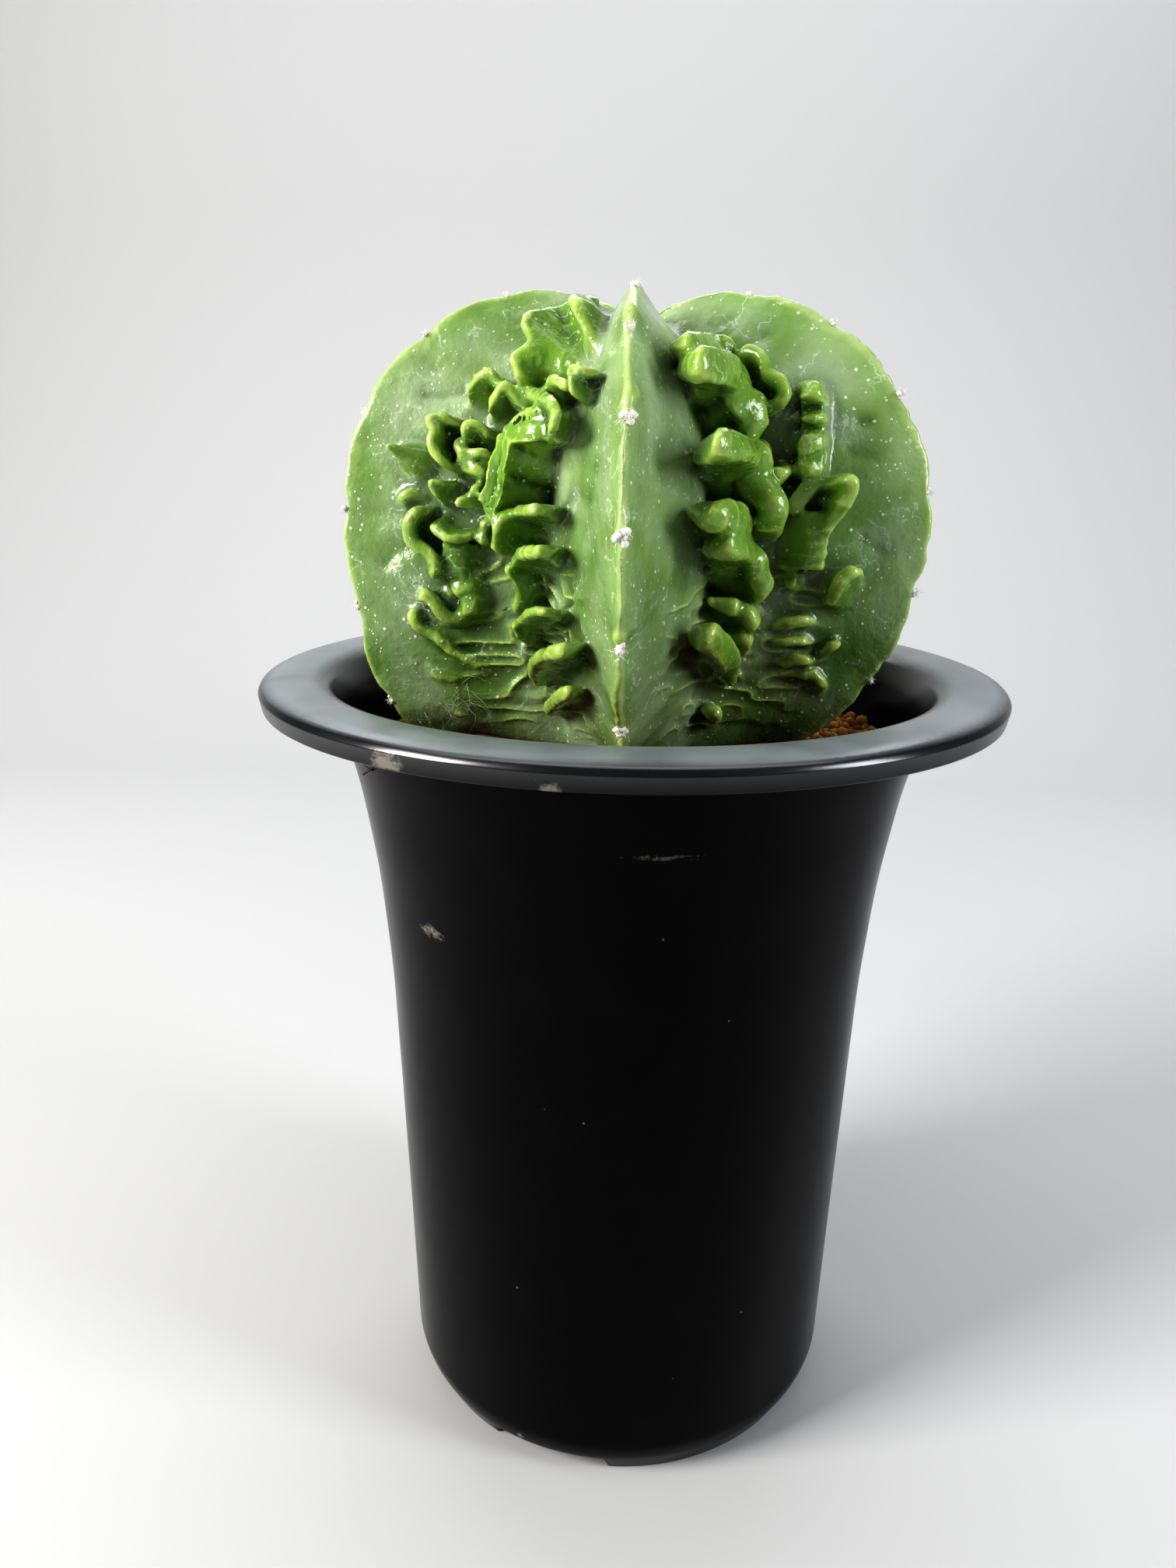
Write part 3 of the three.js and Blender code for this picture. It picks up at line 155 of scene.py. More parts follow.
# Folded growths of a furrow: name, thickness, swelling of the sheet, and stations of five values,
# which are the foot's place across and up, the rim's place across and up, and the rim's rise
LEFT_FOLDS = (
    ("upper rib", 2.6, 0.6, (
     (17.5, 30, 13, 38.5, 12), (16, 29, 10, 40, 14.5), (14, 28, 6, 41, 16), (12, 27, 1, 41, 17),
     (10.5, 26, -4, 38.5, 17), (9.5, 25, -3.5, 36, 16), (8.5, 24.5, -1, 32.5, 14.5),
     (4.5, 24.5, -1.5, 30, 15), (3, 23.5, -1, 27.5, 13), (-1, 23, -1, 25, 10),
     (-1.5, 22, -0.5, 23.5, 7), (-1.5, 21, 0, 22.5, 5))),
    ("hook leaf", 1.9, -0.4, (
     (18.5, 25.5, 23, 26.5, 6), (19, 24.5, 20, 27, 7.5), (19, 23.5, 17.5, 27.5, 8),
     (20, 22.5, 18.5, 25, 7.5), (19, 22, 18.5, 23, 6.5), (19, 21, 17.5, 21, 4))),
    ("small leaf", 2, 0.8, (
     (9.5, 22, 17.5, 23.5, 5), (7.5, 21.5, 15, 25, 7), (7.5, 20.5, 10, 26, 8),
     (4.5, 20.5, 7, 24.5, 7.5), (2.5, 20, 8.5, 22.5, 6), (2, 19.5, 9, 20.5, 4))),
    ("pointed leaf", 1.9, 0.4, (
     (-15, 20.5, -14, 22, 3), (-14, 20.5, -12, 24.5, 6), (-12.5, 20.5, -10, 26, 8),
     (-11.5, 21, -7, 28, 10), (-10.5, 21, -5.5, 26.5, 9), (-9.5, 21.5, -5.5, 24.5, 6),
     (-8.5, 21.5, -6.5, 23, 3))),
    ("roof fold front", 2, 0.6, (
     (-11, 18, -9.5, 19.5, 4), (-10, 18, -7, 22, 7), (-8.5, 18, -5, 24, 9),
     (-6.5, 18, -3.5, 25.5, 10), (-5, 18, -2, 23.5, 9), (-3.5, 18, -1, 22, 8),
     (-2, 17.5, 0, 20.5, 7), (-1, 17, 4.5, 19.5, 5))),
    ("roof fold back", 2.4, 0.8, (
     (-6.5, 21, -4.5, 25, 7), (-4.5, 20.5, -1, 24.5, 9), (-2.5, 19.5, 6, 23.5, 9),
     (-1.5, 18.5, 13, 22.5, 9), (-1.5, 17.5, 17.5, 20.5, 8.5), (-1, 15.5, 18, 18.5, 8.5),
     (-1, 13.5, 17, 16.5, 8), (-1.5, 12, 13.5, 15, 6))),
    ("crinkled flap", 2, 0, (
     (-15, 16.5, -13, 18, 4), (-15.5, 16, -13, 19, 7), (-16.5, 15.5, -14.5, 19.5, 8),
     (-16.5, 14.5, -15.5, 19, 9), (-17, 13.5, -15, 17, 8), (-17, 12, -15.5, 15, 8),
     (-16.5, 10.5, -14.5, 12.5, 8), (-15.5, 9.5, -13.5, 10.5, 7), (-15, 8, -13.5, 8, 5))),
    ("thin leaf", 1.8, 0.8, (
     (-8.5, 13, -6, 15, 4), (-9.5, 13, -6.5, 17, 7), (-10.5, 12.5, -8.5, 18.5, 8),
     (-11.5, 12.5, -10, 17.5, 8), (-12.5, 12, -11, 15.5, 6), (-13, 12.5, -11, 14, 4))),
    ("upper pleat", 2, 1, (
     (-14.5, 10.5, -13, 11.5, 3), (-13.5, 10.5, -11, 12.5, 5), (-12.5, 10.5, -8.5, 13, 6.5),
     (-11, 10.5, -7, 13, 6.5), (-9.5, 10, -6, 11.5, 5), (-9, 9.5, -7, 10.5, 3))),
    ("lower pleat", 2.2, 1, (
     (-14.5, 8.5, -13, 10, 3.5), (-13.5, 8, -10.5, 10.5, 5), (-12, 7.5, -8.5, 10, 6),
     (-10.5, 7.5, -7, 9, 5.5), (-9.5, 7.5, -7, 8, 3.5))),
    ("dome lobe", 5, 4.5, (
     (4.5, 14.5, 11.5, 17.5, 6), (4, 13.5, 8, 18.5, 9), (3.5, 12, 2, 18.5, 11.5),
     (3.5, 10.5, -1, 16.5, 12.5), (3, 9, -1.5, 13.5, 12), (-0.5, 7.5, -2.5, 10.5, 11),
     (-0.5, 6.5, -3, 8.5, 10.5), (-1, 5, -3.5, 6, 10), (-1.5, 4, -5, 3.5, 9),
     (-2.5, 3, -6, 1.5, 8), (-3.5, 2, -7.5, 0, 5))),
    ("side flap", 2, -0.6, (
     (-16, 4.5, -14, 7.5, 4), (-16.5, 3.5, -13.5, 7.5, 7), (-16.5, 2.5, -15, 7.5, 8),
     (-17, 1.5, -15, 5, 7), (-17.5, 1, -16.5, 2.5, 5))),
    ("low bump", 3, 0.5, (
     (-25, 1.5, -24, 1.5, 2), (-25, 3.5, -23.5, 3.5, 2.5), (-23.5, 4.5, -22, 4.5, 2.5),
     (-21, 4, -20, 4, 2))),
    ("wavy crest", 3, 0.6, (
     (-20.5, 0.5, -18, 2.5, 3), (-21, -1, -18, 2, 6), (-21.5, -2.5, -19, 0.5, 7),
     (-21.5, -4.5, -19.5, -3, 6.5), (-20.5, -6, -18.5, -5, 6), (-19, -7.5, -16.5, -6.5, 6),
     (-18.5, -9, -15.5, -8.5, 6), (-18, -10.5, -15.5, -10.5, 6), (-17.5, -12, -16, -12, 3.5))),
    ("cup fold", 2.2, -1.2, (
     (-11.5, -3.5, -9, -2.5, 3), (-12, -1.5, -9, -3.5, 6), (-14.5, -1, -11.5, -4, 7.5),
     (-16.5, -0.5, -14, -3, 7), (-17.5, 0, -16, -1.5, 6), (-17.5, 1, -16.5, 1, 4))),
    ("tongue one", 2.6, -1.6, (
     (6.5, 1.5, 13.5, 4, 6), (7.5, 0, 12, 3.5, 10), (4.5, -2, 0.5, 2.5, 11.5),
     (3.5, -3, -2, 0.5, 12), (-1, -4.5, -2.5, -2.5, 11.5), (-2, -5.5, -3.5, -5.5, 10),
     (-3, -6, -4.5, -7.5, 6))),
    ("tongue two", 2.6, -1.6, (
     (7, -6.5, 15.5, -3, 6), (7.5, -8, 15, -3.5, 9.5), (5.5, -10, 5, -5, 11),
     (3, -12, -1, -8, 11), (1.5, -13.5, -1, -11, 9.5), (-1, -15.5, -1, -13.5, 8),
     (-2.5, -16.5, -3, -17, 6), (-4, -18, -5.5, -18.5, 3))),
    ("tongue three", 2.4, -1.4, (
     (9, -19, 15, -15.5, 5), (7, -20.5, 14.5, -14.5, 8), (5, -22, 8.5, -15.5, 10),
     (1, -24, 0, -19, 10), (-0.5, -25, -1.5, -21.5, 8), (-2.5, -26, -3.5, -25, 4))),
    ("tongue four", 2.8, -1, (
     (15.5, -23.5, 21.5, -19.5, 5), (13, -26.5, 21, -20.5, 8.5), (9.5, -29, 13.5, -22.5, 10),
     (5, -31.5, 7.5, -25.5, 10), (1, -33.5, 3, -29.5, 8), (-1, -34.5, 0.5, -33, 4))),
    ("tongue five", 2.6, 0.6, (
     (13.5, -33, 17, -30, 3), (10, -35, 16, -30, 5.5), (5.5, -37, 9.5, -33, 6),
     (2.5, -38.5, 2, -37, 4), (1, -39.5, 0.5, -39, 2.5))),
    ("sausage one", 3.6, 0, (
     (-18, -15, -17, -14.5, 2), (-16, -13.5, -13.5, -13.5, 4), (-13, -14, -10.5, -13.5, 4),
     (-11, -14.5, -9.5, -14, 2))),
    ("sausage two", 4.2, 0, (
     (-17, -17.5, -15.5, -17.5, 2), (-15, -17.5, -12, -17, 4), (-12.5, -16.5, -10, -16, 4),
     (-11, -17, -9.5, -17, 2))),
    ("curved ridge", 2.8, 0, (
     (-23.5, -17, -22.5, -15.5, 3), (-22, -17, -19, -14.5, 5), (-20.5, -18, -17.5, -15.5, 5),
     (-19, -20.5, -15.5, -18.5, 5), (-16.5, -21, -14, -19.5, 4), (-12, -19.5, -10, -18, 3))),
    ("long ridge", 2.6, 0, (
     (-23.5, -18, -22, -17.5, 2), (-25, -20.5, -22, -19.5, 4), (-23.5, -22.5, -21, -22, 4),
     (-20.5, -24.5, -18, -24, 4), (-18.5, -27, -16, -26.5, 3.5), (-15, -29, -13, -28.5, 3),
     (-11, -30, -9.5, -29.5, 2))),
    ("foot ridge", 2.8, 0, (
     (-24, -28, -23, -28, 1.5), (-23.5, -32, -21.5, -31.5, 3), (-19.5, -33, -17.5, -32.5, 3),
     (-16, -34, -15, -33.5, 1.5))),
    ("foot lump", 3.2, 0, (
     (-21.5, -37.5, -20.5, -37, 1.5), (-20.5, -40, -18.5, -39.5, 3), (-17, -40.5, -15.5, -40, 2))),
    ("crinkled flap inner", 1.8, 0.4, (
     (-15.5, 12.5, -12.5, 17, 4), (-15.5, 11, -12.5, 14.5, 5), (-15, 10, -10.5, 12.5, 6),
     (-14.5, 9, -12, 11, 5), (-14.5, 7.5, -13.5, 9.5, 4))),
)
RIGHT_FOLDS = (
    ("crown lobe", 4.4, 2.2, (
     (-9, 28.5, -15.5, 30.5, 5), (-5.5, 28.5, -16, 31.5, 8), (-0.5, 28.5, -11.5, 32, 10),
     (1.5, 28.5, 0, 33, 10.5), (2.5, 28.5, 0.5, 31, 9), (2, 28, 0.5, 29.5, 6))),
    ("long lobe", 5.2, 2.6, (
     (-7, 24.5, -15, 27.5, 6), (-5.5, 24, -17.5, 28.5, 11), (-4.5, 23, -12, 28.5, 13),
     (-4, 21.5, -5, 28, 13), (-3.5, 20.5, -1.5, 26.5, 12), (-3, 19, -3.5, 24, 11.5),
     (-1, 17.5, 0, 21.5, 12), (0.5, 16, 1, 18.5, 11), (1.5, 15, 2, 16, 9),
     (3, 14.5, 4, 14.5, 5))),
    ("branch fold", 3, 1, (
     (6.5, 26.5, 3.5, 29.5, 5), (6.5, 26, 2.5, 31.5, 9), (7.5, 25.5, 3.5, 32.5, 11),
     (8, 25, 4.5, 31, 11), (8, 24, 5, 28, 10), (8.5, 23.5, 6.5, 26.5, 10.5),
     (8.5, 22.5, 7, 24, 10), (8, 21.5, 6.5, 22.5, 9), (8, 21, 6, 21.5, 7),
     (7.5, 20.5, 6, 21, 4))),
    ("small curl", 2.2, 1, (
     (5, 21.5, 2.5, 24, 5), (5.5, 21, 2.5, 24.5, 8), (5.5, 20.5, 3.5, 23.5, 9),
     (6, 20, 4, 21.5, 8), (6, 19.5, 4.5, 19.5, 5))),
    ("warty finger", 4.4, 0.6, (
     (18.5, 25, 12, 26, 7), (18.5, 24, 10, 24.5, 10.5), (18.5, 22.5, 10, 23, 10),
     (18, 21.5, 12.5, 21.5, 6), (18, 19.5, 10, 20, 10), (17.5, 18.5, 10.5, 19, 9.5),
     (17.5, 18, 12, 18, 6.5), (17.5, 15.5, 10, 16.5, 9.5), (17, 14, 9.5, 14, 9.5),
     (17, 12.5, 11, 12.5, 7.5), (17, 10.5, 9.5, 11, 8.5), (16.5, 9, 11, 8.5, 5))),
    ("finger leg", 3, 0.4, (
     (13, 11, 9, 12, 6), (12, 9, 6, 10.5, 8.5), (11, 7.5, 4.5, 9, 8.5), (10, 6.5, 4.5, 7, 7),
     (10, 5.5, 6.5, 5.5, 4))),
    ("big lobe", 5, 0.2, (
     (-2.5, 10.5, -13, 13.5, 6), (-1.5, 9, -17.5, 15, 11), (0.5, 7, -15, 15.5, 13.5),
     (1, 5.5, -8, 15.5, 14), (1.5, 4.5, 0.5, 14, 13), (2.5, 4, 1, 11, 12),
     (3.5, 3.5, 0.5, 9, 11.5), (5, 2.5, 2, 7, 12.5), (6, 1, 3, 4.5, 13), (6, 0, 3.5, 1.5, 12),
     (6.5, -1.5, 4, -1, 9), (7, -2, 5, -3, 5))),
    ("ear flap", 2.8, -1.6, (
     (15.5, 6, 12.5, 8, 5), (15.5, 4, 14, 9, 9), (16, 2.5, 14.5, 10, 12),
     (16, 1, 15.5, 8.5, 12.5), (16, 0, 15, 5.5, 12), (16.5, -1.5, 14.5, 3.5, 11),
     (17, -3, 13.5, 1.5, 10), (17.5, -4, 13, -0.5, 8.5), (18, -5, 13.5, -3, 6.5),
     (18.5, -6.5, 15.5, -6, 4))),
    ("tongue one", 5, 2, (
     (-6.5, 1, -14.5, 4, 5), (-5, -1.5, -16, 3.5, 9), (-3.5, -3, -11.5, 3.5, 12),
     (0.5, -4.5, -5, 1.5, 12.5), (1.5, -4.5, 0.5, -1, 10), (3, -4.5, 1.5, -3.5, 6))),
    ("tongue two", 4.4, 0.6, (
     (0.5, -8.5, -11.5, -3, 6), (1, -10.5, -12, -1.5, 11.5), (2, -12, -2.5, -3, 12.5),
     (3, -13.5, 1, -5.5, 12), (4, -14, 2.5, -8.5, 10.5), (5.5, -14.5, 4.5, -12, 8.5),
     (7, -15, 6, -14.5, 5))),
    ("hook crest", 2.6, 0.4, (
     (25.5, -10.5, 23, -8.5, 4), (25, -12, 18.5, -7.5, 8), (24, -13, 16.5, -8.5, 8.5),
     (23.5, -14.5, 15.5, -10.5, 8), (22.5, -15.5, 16, -13, 6), (22, -16, 17.5, -15, 4))),
    ("tongue three", 3.2, 0.2, (
     (1.5, -18, -5.5, -14, 5), (2.5, -19, -1.5, -14.5, 8.5), (3.5, -20, 1.5, -16, 9),
     (5, -20.5, 3.5, -18.5, 8), (6.5, -21.5, 6, -21, 4.5))),
    ("tongue four", 3, 0.4, (
     (3, -24.5, 1, -21.5, 4), (4, -25, 1.5, -20.5, 7), (5.5, -25.5, 3.5, -22, 7),
     (6.5, -26, 6, -25, 4))),
    ("round wart", 4.6, 1.6, (
     (-4.5, -24, -11, -20, 4), (-2.5, -26.5, -12, -18.5, 8), (-0.5, -28.5, -7, -21.5, 9.5),
     (1, -30, -2.5, -25, 9.5), (2, -31, -0.5, -28.5, 8), (3.5, -31.5, 0.5, -31, 5))),
    ("drip", 2.2, 0, (
     (5, -27.5, 4, -27.5, 2), (6.5, -30, 4, -29.5, 4), (8, -31.5, 6.5, -31, 2))),
    ("sausage", 3.6, 0, (
     (11.5, -10, 10.5, -9.5, 2), (13.5, -11, 11, -10.5, 4), (16, -11, 14.5, -11, 2.5))),
    ("low pleat one", 2.8, 0, (
     (11.5, -20, 10.5, -20, 1.5), (13.5, -19.5, 11.5, -19, 3), (16.5, -19, 14.5, -18.5, 3),
     (18.5, -19.5, 17.5, -19.5, 1.5))),
    ("low pleat two", 2.6, 0, (
     (11.5, -24.5, 11, -24.5, 1.5), (13.5, -23.5, 11.5, -23, 3), (17, -23, 15, -22.5, 3),
     (19, -24.5, 18, -24.5, 1.5))),
    ("low pleat three", 2.6, 0, (
     (12.5, -27.5, 11.5, -27.5, 1.5), (15.5, -27, 13.5, -26.5, 3), (18.5, -27, 16.5, -26.5, 3),
     (20.5, -27, 19.5, -26.5, 1.5))),
    ("low crest", 2.4, 0, (
     (20.5, -27.5, 19.5, -27.5, 2), (21.5, -25, 19, -24.5, 4), (22.5, -23.5, 20, -23, 4),
     (22.5, -22, 21.5, -22, 2))),
    ("foot fold", 2.6, 0, (
     (14.5, -30, 13.5, -30, 1.5), (19.5, -30, 17.5, -29.5, 3), (22, -32.5, 20.5, -32, 3),
     (22.5, -35.5, 21.5, -35, 1.5))),
    ("foot wart", 3.2, 0, (
     (1, -37, 0, -36.5, 2), (3, -39, 0.5, -38, 4), (3.5, -42, 2, -41.5, 2))),
    ("edge curl", 2.2, 0, (
     (6.5, 15.5, 5, 16.5, 4), (7, 14, 5, 14.5, 6), (7, 12, 5.5, 11.5, 5), (7, 10, 5.5, 10, 3))),
    ("finger skirt", 3, 1.6, (
     (17, 9, 13.5, 11.5, 6), (16.5, 6.5, 11, 9, 7), (15, 4.5, 9.5, 6.5, 7), (13, 3, 8.5, 4, 6),
     (11, 3, 8, 3.5, 4))),
)

# Fans of level pleats: from, to, top, step, count, rise, thickness
LEFT_FAN = (-17.0, -10.0, -5.5, -1.5, 5, 4.0, 1.5)
RIGHT_FAN = (9.5, 16.5, 1.0, -2.2, 5, 6.5, 2.6)

# Horns and beads: foot across, up; tip across, up; rise; foot radius; tip radius
LEFT_HORNS = (
    (-23, 10.5, -23, 14, 8, 4.4, 1),
    (-10, 4.5, -11, 3, 7, 3.4, 1.4),
    (-9.5, 6.5, -9, 5.5, 6, 2.4, 1.2),
    (-10, -1.5, -6.5, -1, 6, 1.9, 1.4),
    (-10, -4, -7, -3.5, 6, 2.1, 1.6),
)

RIGHT_FURROW = 0
LEFT_FURROW = -1
# Furrows at the back: number, folds, mirrored or not, shift upwards
HIDDEN_FURROWS = ((1, LEFT_FOLDS, True, 1.5), (2, RIGHT_FOLDS, False, -1.0),
                  (3, RIGHT_FOLDS, True, 2.0))
HIDDEN_RISE = 4             # they keep the folds that rise at least this far
HIDDEN_WAVE = 1.3           # how far the rims there go up and down
UNDERCUT = 0.7              # how far out the space under a fold is filled, as a share


def ramp(values, low, high):
    """0 below low, 1 above high, smooth in between."""
    part = np.clip((values - low) / (high - low), 0, 1)
    return part * part * (3 - 2 * part)


def noise(points, size, seed=0):
    """Smooth random values from -1 to 1: random numbers on a cubic lattice, blended in between."""
    scaled = np.asarray(points) / size + seed * 17.3
    cell = np.floor(scaled).astype(np.int64)
    part = scaled - cell
    part = part * part * (3 - 2 * part)
    total = np.zeros(len(scaled))
    for corner in range(8):
        step = np.array([corner & 1, corner >> 1 & 1, corner >> 2 & 1])
        key = (cell + step) @ np.array([374761393, 668265263, 2147483647]) + seed * 974711
        key = (key ^ (key >> 13)) * 1274126177 & 0x7fffffff
        value = (key ^ (key >> 16)) % 65536 / 32768.0 - 1
        weight = np.prod(np.where(step, part, 1 - part), axis=1)
        total += value * weight
    return total


def crest_radius(latitude, rib):
    """Radius of a rib's crest: a rounded outline, dipped a little at each areole, and fuller low
    down by each rib's own swell."""
    part = np.abs(latitude) / (np.pi / 2)
    drop = np.where(latitude > 0, CROWN_DROP * part ** 1.9, FOOT_DROP * part ** 2)
    swell = ramp(-latitude, SWELL_FROM, SWELL_TO)
    swell = swell * (1 - SWELL_LOSS * ramp(-latitude, SWELL_TO, -BASE_LATITUDE))
    radius = CREST - drop + FOOT_SWELL[rib] * swell
    for index in range(AREOLES):
        areole = np.radians(AREOLE_START + AREOLE_SHIFT[rib] + AREOLE_STEP * index)
        radius = radius - NOTCH * np.exp(-((latitude - areole) / NOTCH_WIDTH) ** 2)
    return radius


def valley_radius(latitude):
    """Radius of a furrow's bottom: upright in the middle, closing towards crown and base."""
    cap = np.where(latitude > 0, CREST - CROWN_DROP, CREST - FOOT_DROP)
    return ((np.cos(latitude) / VALLEY) ** 6 + (1 / cap) ** 6) ** (-1 / 6)


def bead_width(latitude):
    """Half width of a crest's bead: BEAD over the cosine of latitude, wider towards the poles."""
    return BEAD / np.maximum(np.cos(latitude), BEAD_CLOSING)


def bead_angle(latitude, rib):
    """Angle from the crest's middle to the edge of its rounded bead."""
    return np.arctan2(bead_width(latitude), crest_radius(latitude, rib) - BEAD_DEPTH)


def skin_radius(longitude, latitude):
    """Radius of the skin: a rounded crest, and sides that run straight, with a slight belly, to
    the furrows."""
    turns = np.round(longitude / (2 * HALF))
    rib = turns.astype(int) % RIBS
    off = np.abs(longitude - 2 * HALF * turns)
    crest = crest_radius(latitude, rib)
    edge = bead_angle(latitude, rib)
    valley = valley_radius(latitude)
    edge_x = crest - BEAD_DEPTH
    edge_y = bead_width(latitude)
    dx = valley * np.cos(HALF) - edge_x
    dy = valley * np.sin(HALF) - edge_y
    side = (edge_x * dy - edge_y * dx) / (np.cos(off) * dy - np.sin(off) * dx)
    part = np.clip((off - edge) / (HALF - edge), 0, 1)
    side = side + BELLY * np.sin(np.pi * part) * np.cos(latitude)
    return np.where(off < edge, crest - BEAD_DEPTH * (off / edge) ** 2, side)


def skin_point(longitude, latitude):
    """Point of the skin in a direction."""
    radius = skin_radius(longitude, latitude)
    azimuth = FRONT + longitude
    flat = radius * np.cos(latitude)
    return np.stack([flat * np.sin(azimuth), -flat * np.cos(azimuth),
                     BODY_Z + radius * np.sin(latitude)], -1)


def furrow_depth(across, up):
    """How far out the skin stands in a furrow, found by halving an interval."""
    near = np.full(np.shape(across), NEAREST)
    far = np.full(np.shape(across), FURTHEST)
    for _ in range(HALVINGS):
        out = (near + far) / 2
        flat = np.hypot(across, out)
        longitude = HALF + np.arctan2(across, out)
        inside = np.hypot(flat, up) < skin_radius(longitude, np.arctan2(up, flat))
        near = np.where(inside, out, near)
        far = np.where(inside, far, out)
    return (near + far) / 2


def furrow_point(furrow, across, out, up):
    """Point at a place across a furrow, out from the axis and up from the body's middle."""
    azimuth = FRONT + HALF * (2 * furrow + 1)
    across, out, up = np.broadcast_arrays(across, out, up)
    return np.stack([across * np.cos(azimuth) + out * np.sin(azimuth),
                     across * np.sin(azimuth) - out * np.cos(azimuth), BODY_Z + up], -1)


def smooth_path(values, steps):
    """Rows between the given rows, on the curve that runs through all of them."""
    values = np.asarray(values, float)
    padded = np.vstack([2 * values[0] - values[1], values, 2 * values[-1] - values[-2]])
    part = np.arange(steps)[:, None] / steps
    rows = []
    for i in range(len(values) - 1):
        a, b, c, d = padded[i:i + 4]
        rows.append(0.5 * (2 * b + (c - a) * part + (2 * a - 5 * b + 4 * c - d) * part ** 2
                           + (3 * b - a - 3 * c + d) * part ** 3))
    return np.vstack(rows + [values[-1:]])


def closed_loft(rings, start, end):
    """Vertices and faces of a tube through rings of equal count, closed at two points."""
    rows, count = rings.shape[:2]
    points = np.vstack([rings.reshape(-1, 3), start, end])
    ring, i = np.meshgrid(np.arange(rows - 1), np.arange(count), indexing="ij")
    j = (i + 1) % count
    quads = np.stack([ring * count + i, ring * count + j, (ring + 1) * count + j,
                      (ring + 1) * count + i], -1).reshape(-1, 4)
    i = np.arange(count)
    j = (i + 1) % count
    first = np.stack([np.full(count, rows * count), j, i], -1)
    last_ring = (rows - 1) * count
    last = np.stack([np.full(count, rows * count + 1), last_ring + i, last_ring + j], -1)
    faces = quads.tolist() + first.tolist() + last.tolist()
    return points, faces


def unit(vectors):
    """Vectors divided by their lengths."""
    return vectors / np.maximum(np.linalg.norm(vectors, axis=-1, keepdims=True), 1e-9)


def fold_surface(fold, furrow, mirror, shift, wave=0.0):
    """Two closed shells of one fold. The first is a standing sheet: its section runs up from a
    sunk foot, round the free rim and down again, and the sections follow the smoothed stations.
    The second fills the space under the sheet, down to the skin. A wave, in mm, lifts and
    lowers the rim along the fold and makes it a little lower."""
    _, thick, bulge, stations = fold
    rows = smooth_path(stations, FOLD_STEPS)
    side = -1.0 if mirror else 1.0
    foot_across, foot_up, rim_across, rim_up, rise = rows.T
    ends = np.minimum(np.arange(len(rows)), np.arange(len(rows))[::-1])
    rise = rise * (0.45 + 0.55 * ramp(ends, 0, FOLD_STEPS))
    beat = np.arange(len(rows)) * 0.32 + rim_up[0] + furrow
    rise = rise * (1 - 0.08 * wave * (1 + np.sin(1.7 * beat)))
    rim_up = rim_up + wave * np.sin(beat)
    foot_depth = furrow_depth(side * foot_across, foot_up + shift)
    rim_depth = furrow_depth(side * rim_across, rim_up + shift)
    foot = furrow_point(furrow, side * foot_across, foot_depth - SINK, foot_up + shift)
    rim = furrow_point(furrow, side * rim_across, rim_depth + rise, rim_up + shift)
    under = furrow_point(furrow, side * rim_across, rim_depth - SINK, rim_up + shift)
    out = furrow_point(furrow, 0.0, 1.0, -BODY_Z)
    along = np.gradient(rim, axis=0) + 0.5 * np.gradient(foot, axis=0)
    across = unit(np.cross(along, rim - foot))
    half = thick / 2 * (0.5 + 0.5 * ramp(ends, 0, 7))[:, None]
    control = (foot + rim) / 2 + 2 * bulge * out
    length = np.linalg.norm(rim - foot, axis=1)[:, None]
    top = unit(rim - control)
    last = np.clip(1 - half / length, 0.4, 0.97)
    lip = ramp(thick, 2.6, 4.2)
    section = []
    for part in np.linspace(0, 1, SHEET_POINTS):
        v = part * last
        middle = (1 - v) ** 2 * foot + 2 * v * (1 - v) * control + v ** 2 * rim
        waist = 1.5 - 0.8 * ramp(part, 0, 0.6) + (0.3 + 0.2 * lip) * ramp(part, 0.66, 1)
        section.append((middle, half * waist))
    ring = [middle + width * across for middle, width in section]
    centre, width = section[-1]
    for angle in np.linspace(0, np.pi, LIP_POINTS)[1:-1]:
        ring.append(centre + width * (np.cos(angle) * across + np.sin(angle) * top))
    ring += [middle - width * across for middle, width in section[::-1]]
    rings = np.stack(ring, 1)
    sheet = closed_loft(rings, rings[0].mean(0), rings[-1].mean(0))
    back = foot + UNDERCUT * (under - foot)
    fill = np.stack([middle for middle, _ in section] + [0.5 * (centre + back), back], 1)
    return [sheet, closed_loft(fill, fill[0].mean(0), fill[-1].mean(0))]


def fan_folds(fan):
    """The level pleats of a fan, as low folds."""
    start, end, top, step, count, rise, thick = fan
    folds = []
    for index in range(count):
        up = top + step * index
        stations = [(start + (end - start) * part, up - 0.3, start + (end - start) * part,
                     up + 0.3 + np.sin(np.pi * part) * 0.6, rise * (0.5 if part in (0, 1) else 1))
                    for part in (0, 0.3, 0.7, 1)]
        folds.append(("pleat", thick, 0.0, stations))
    return folds


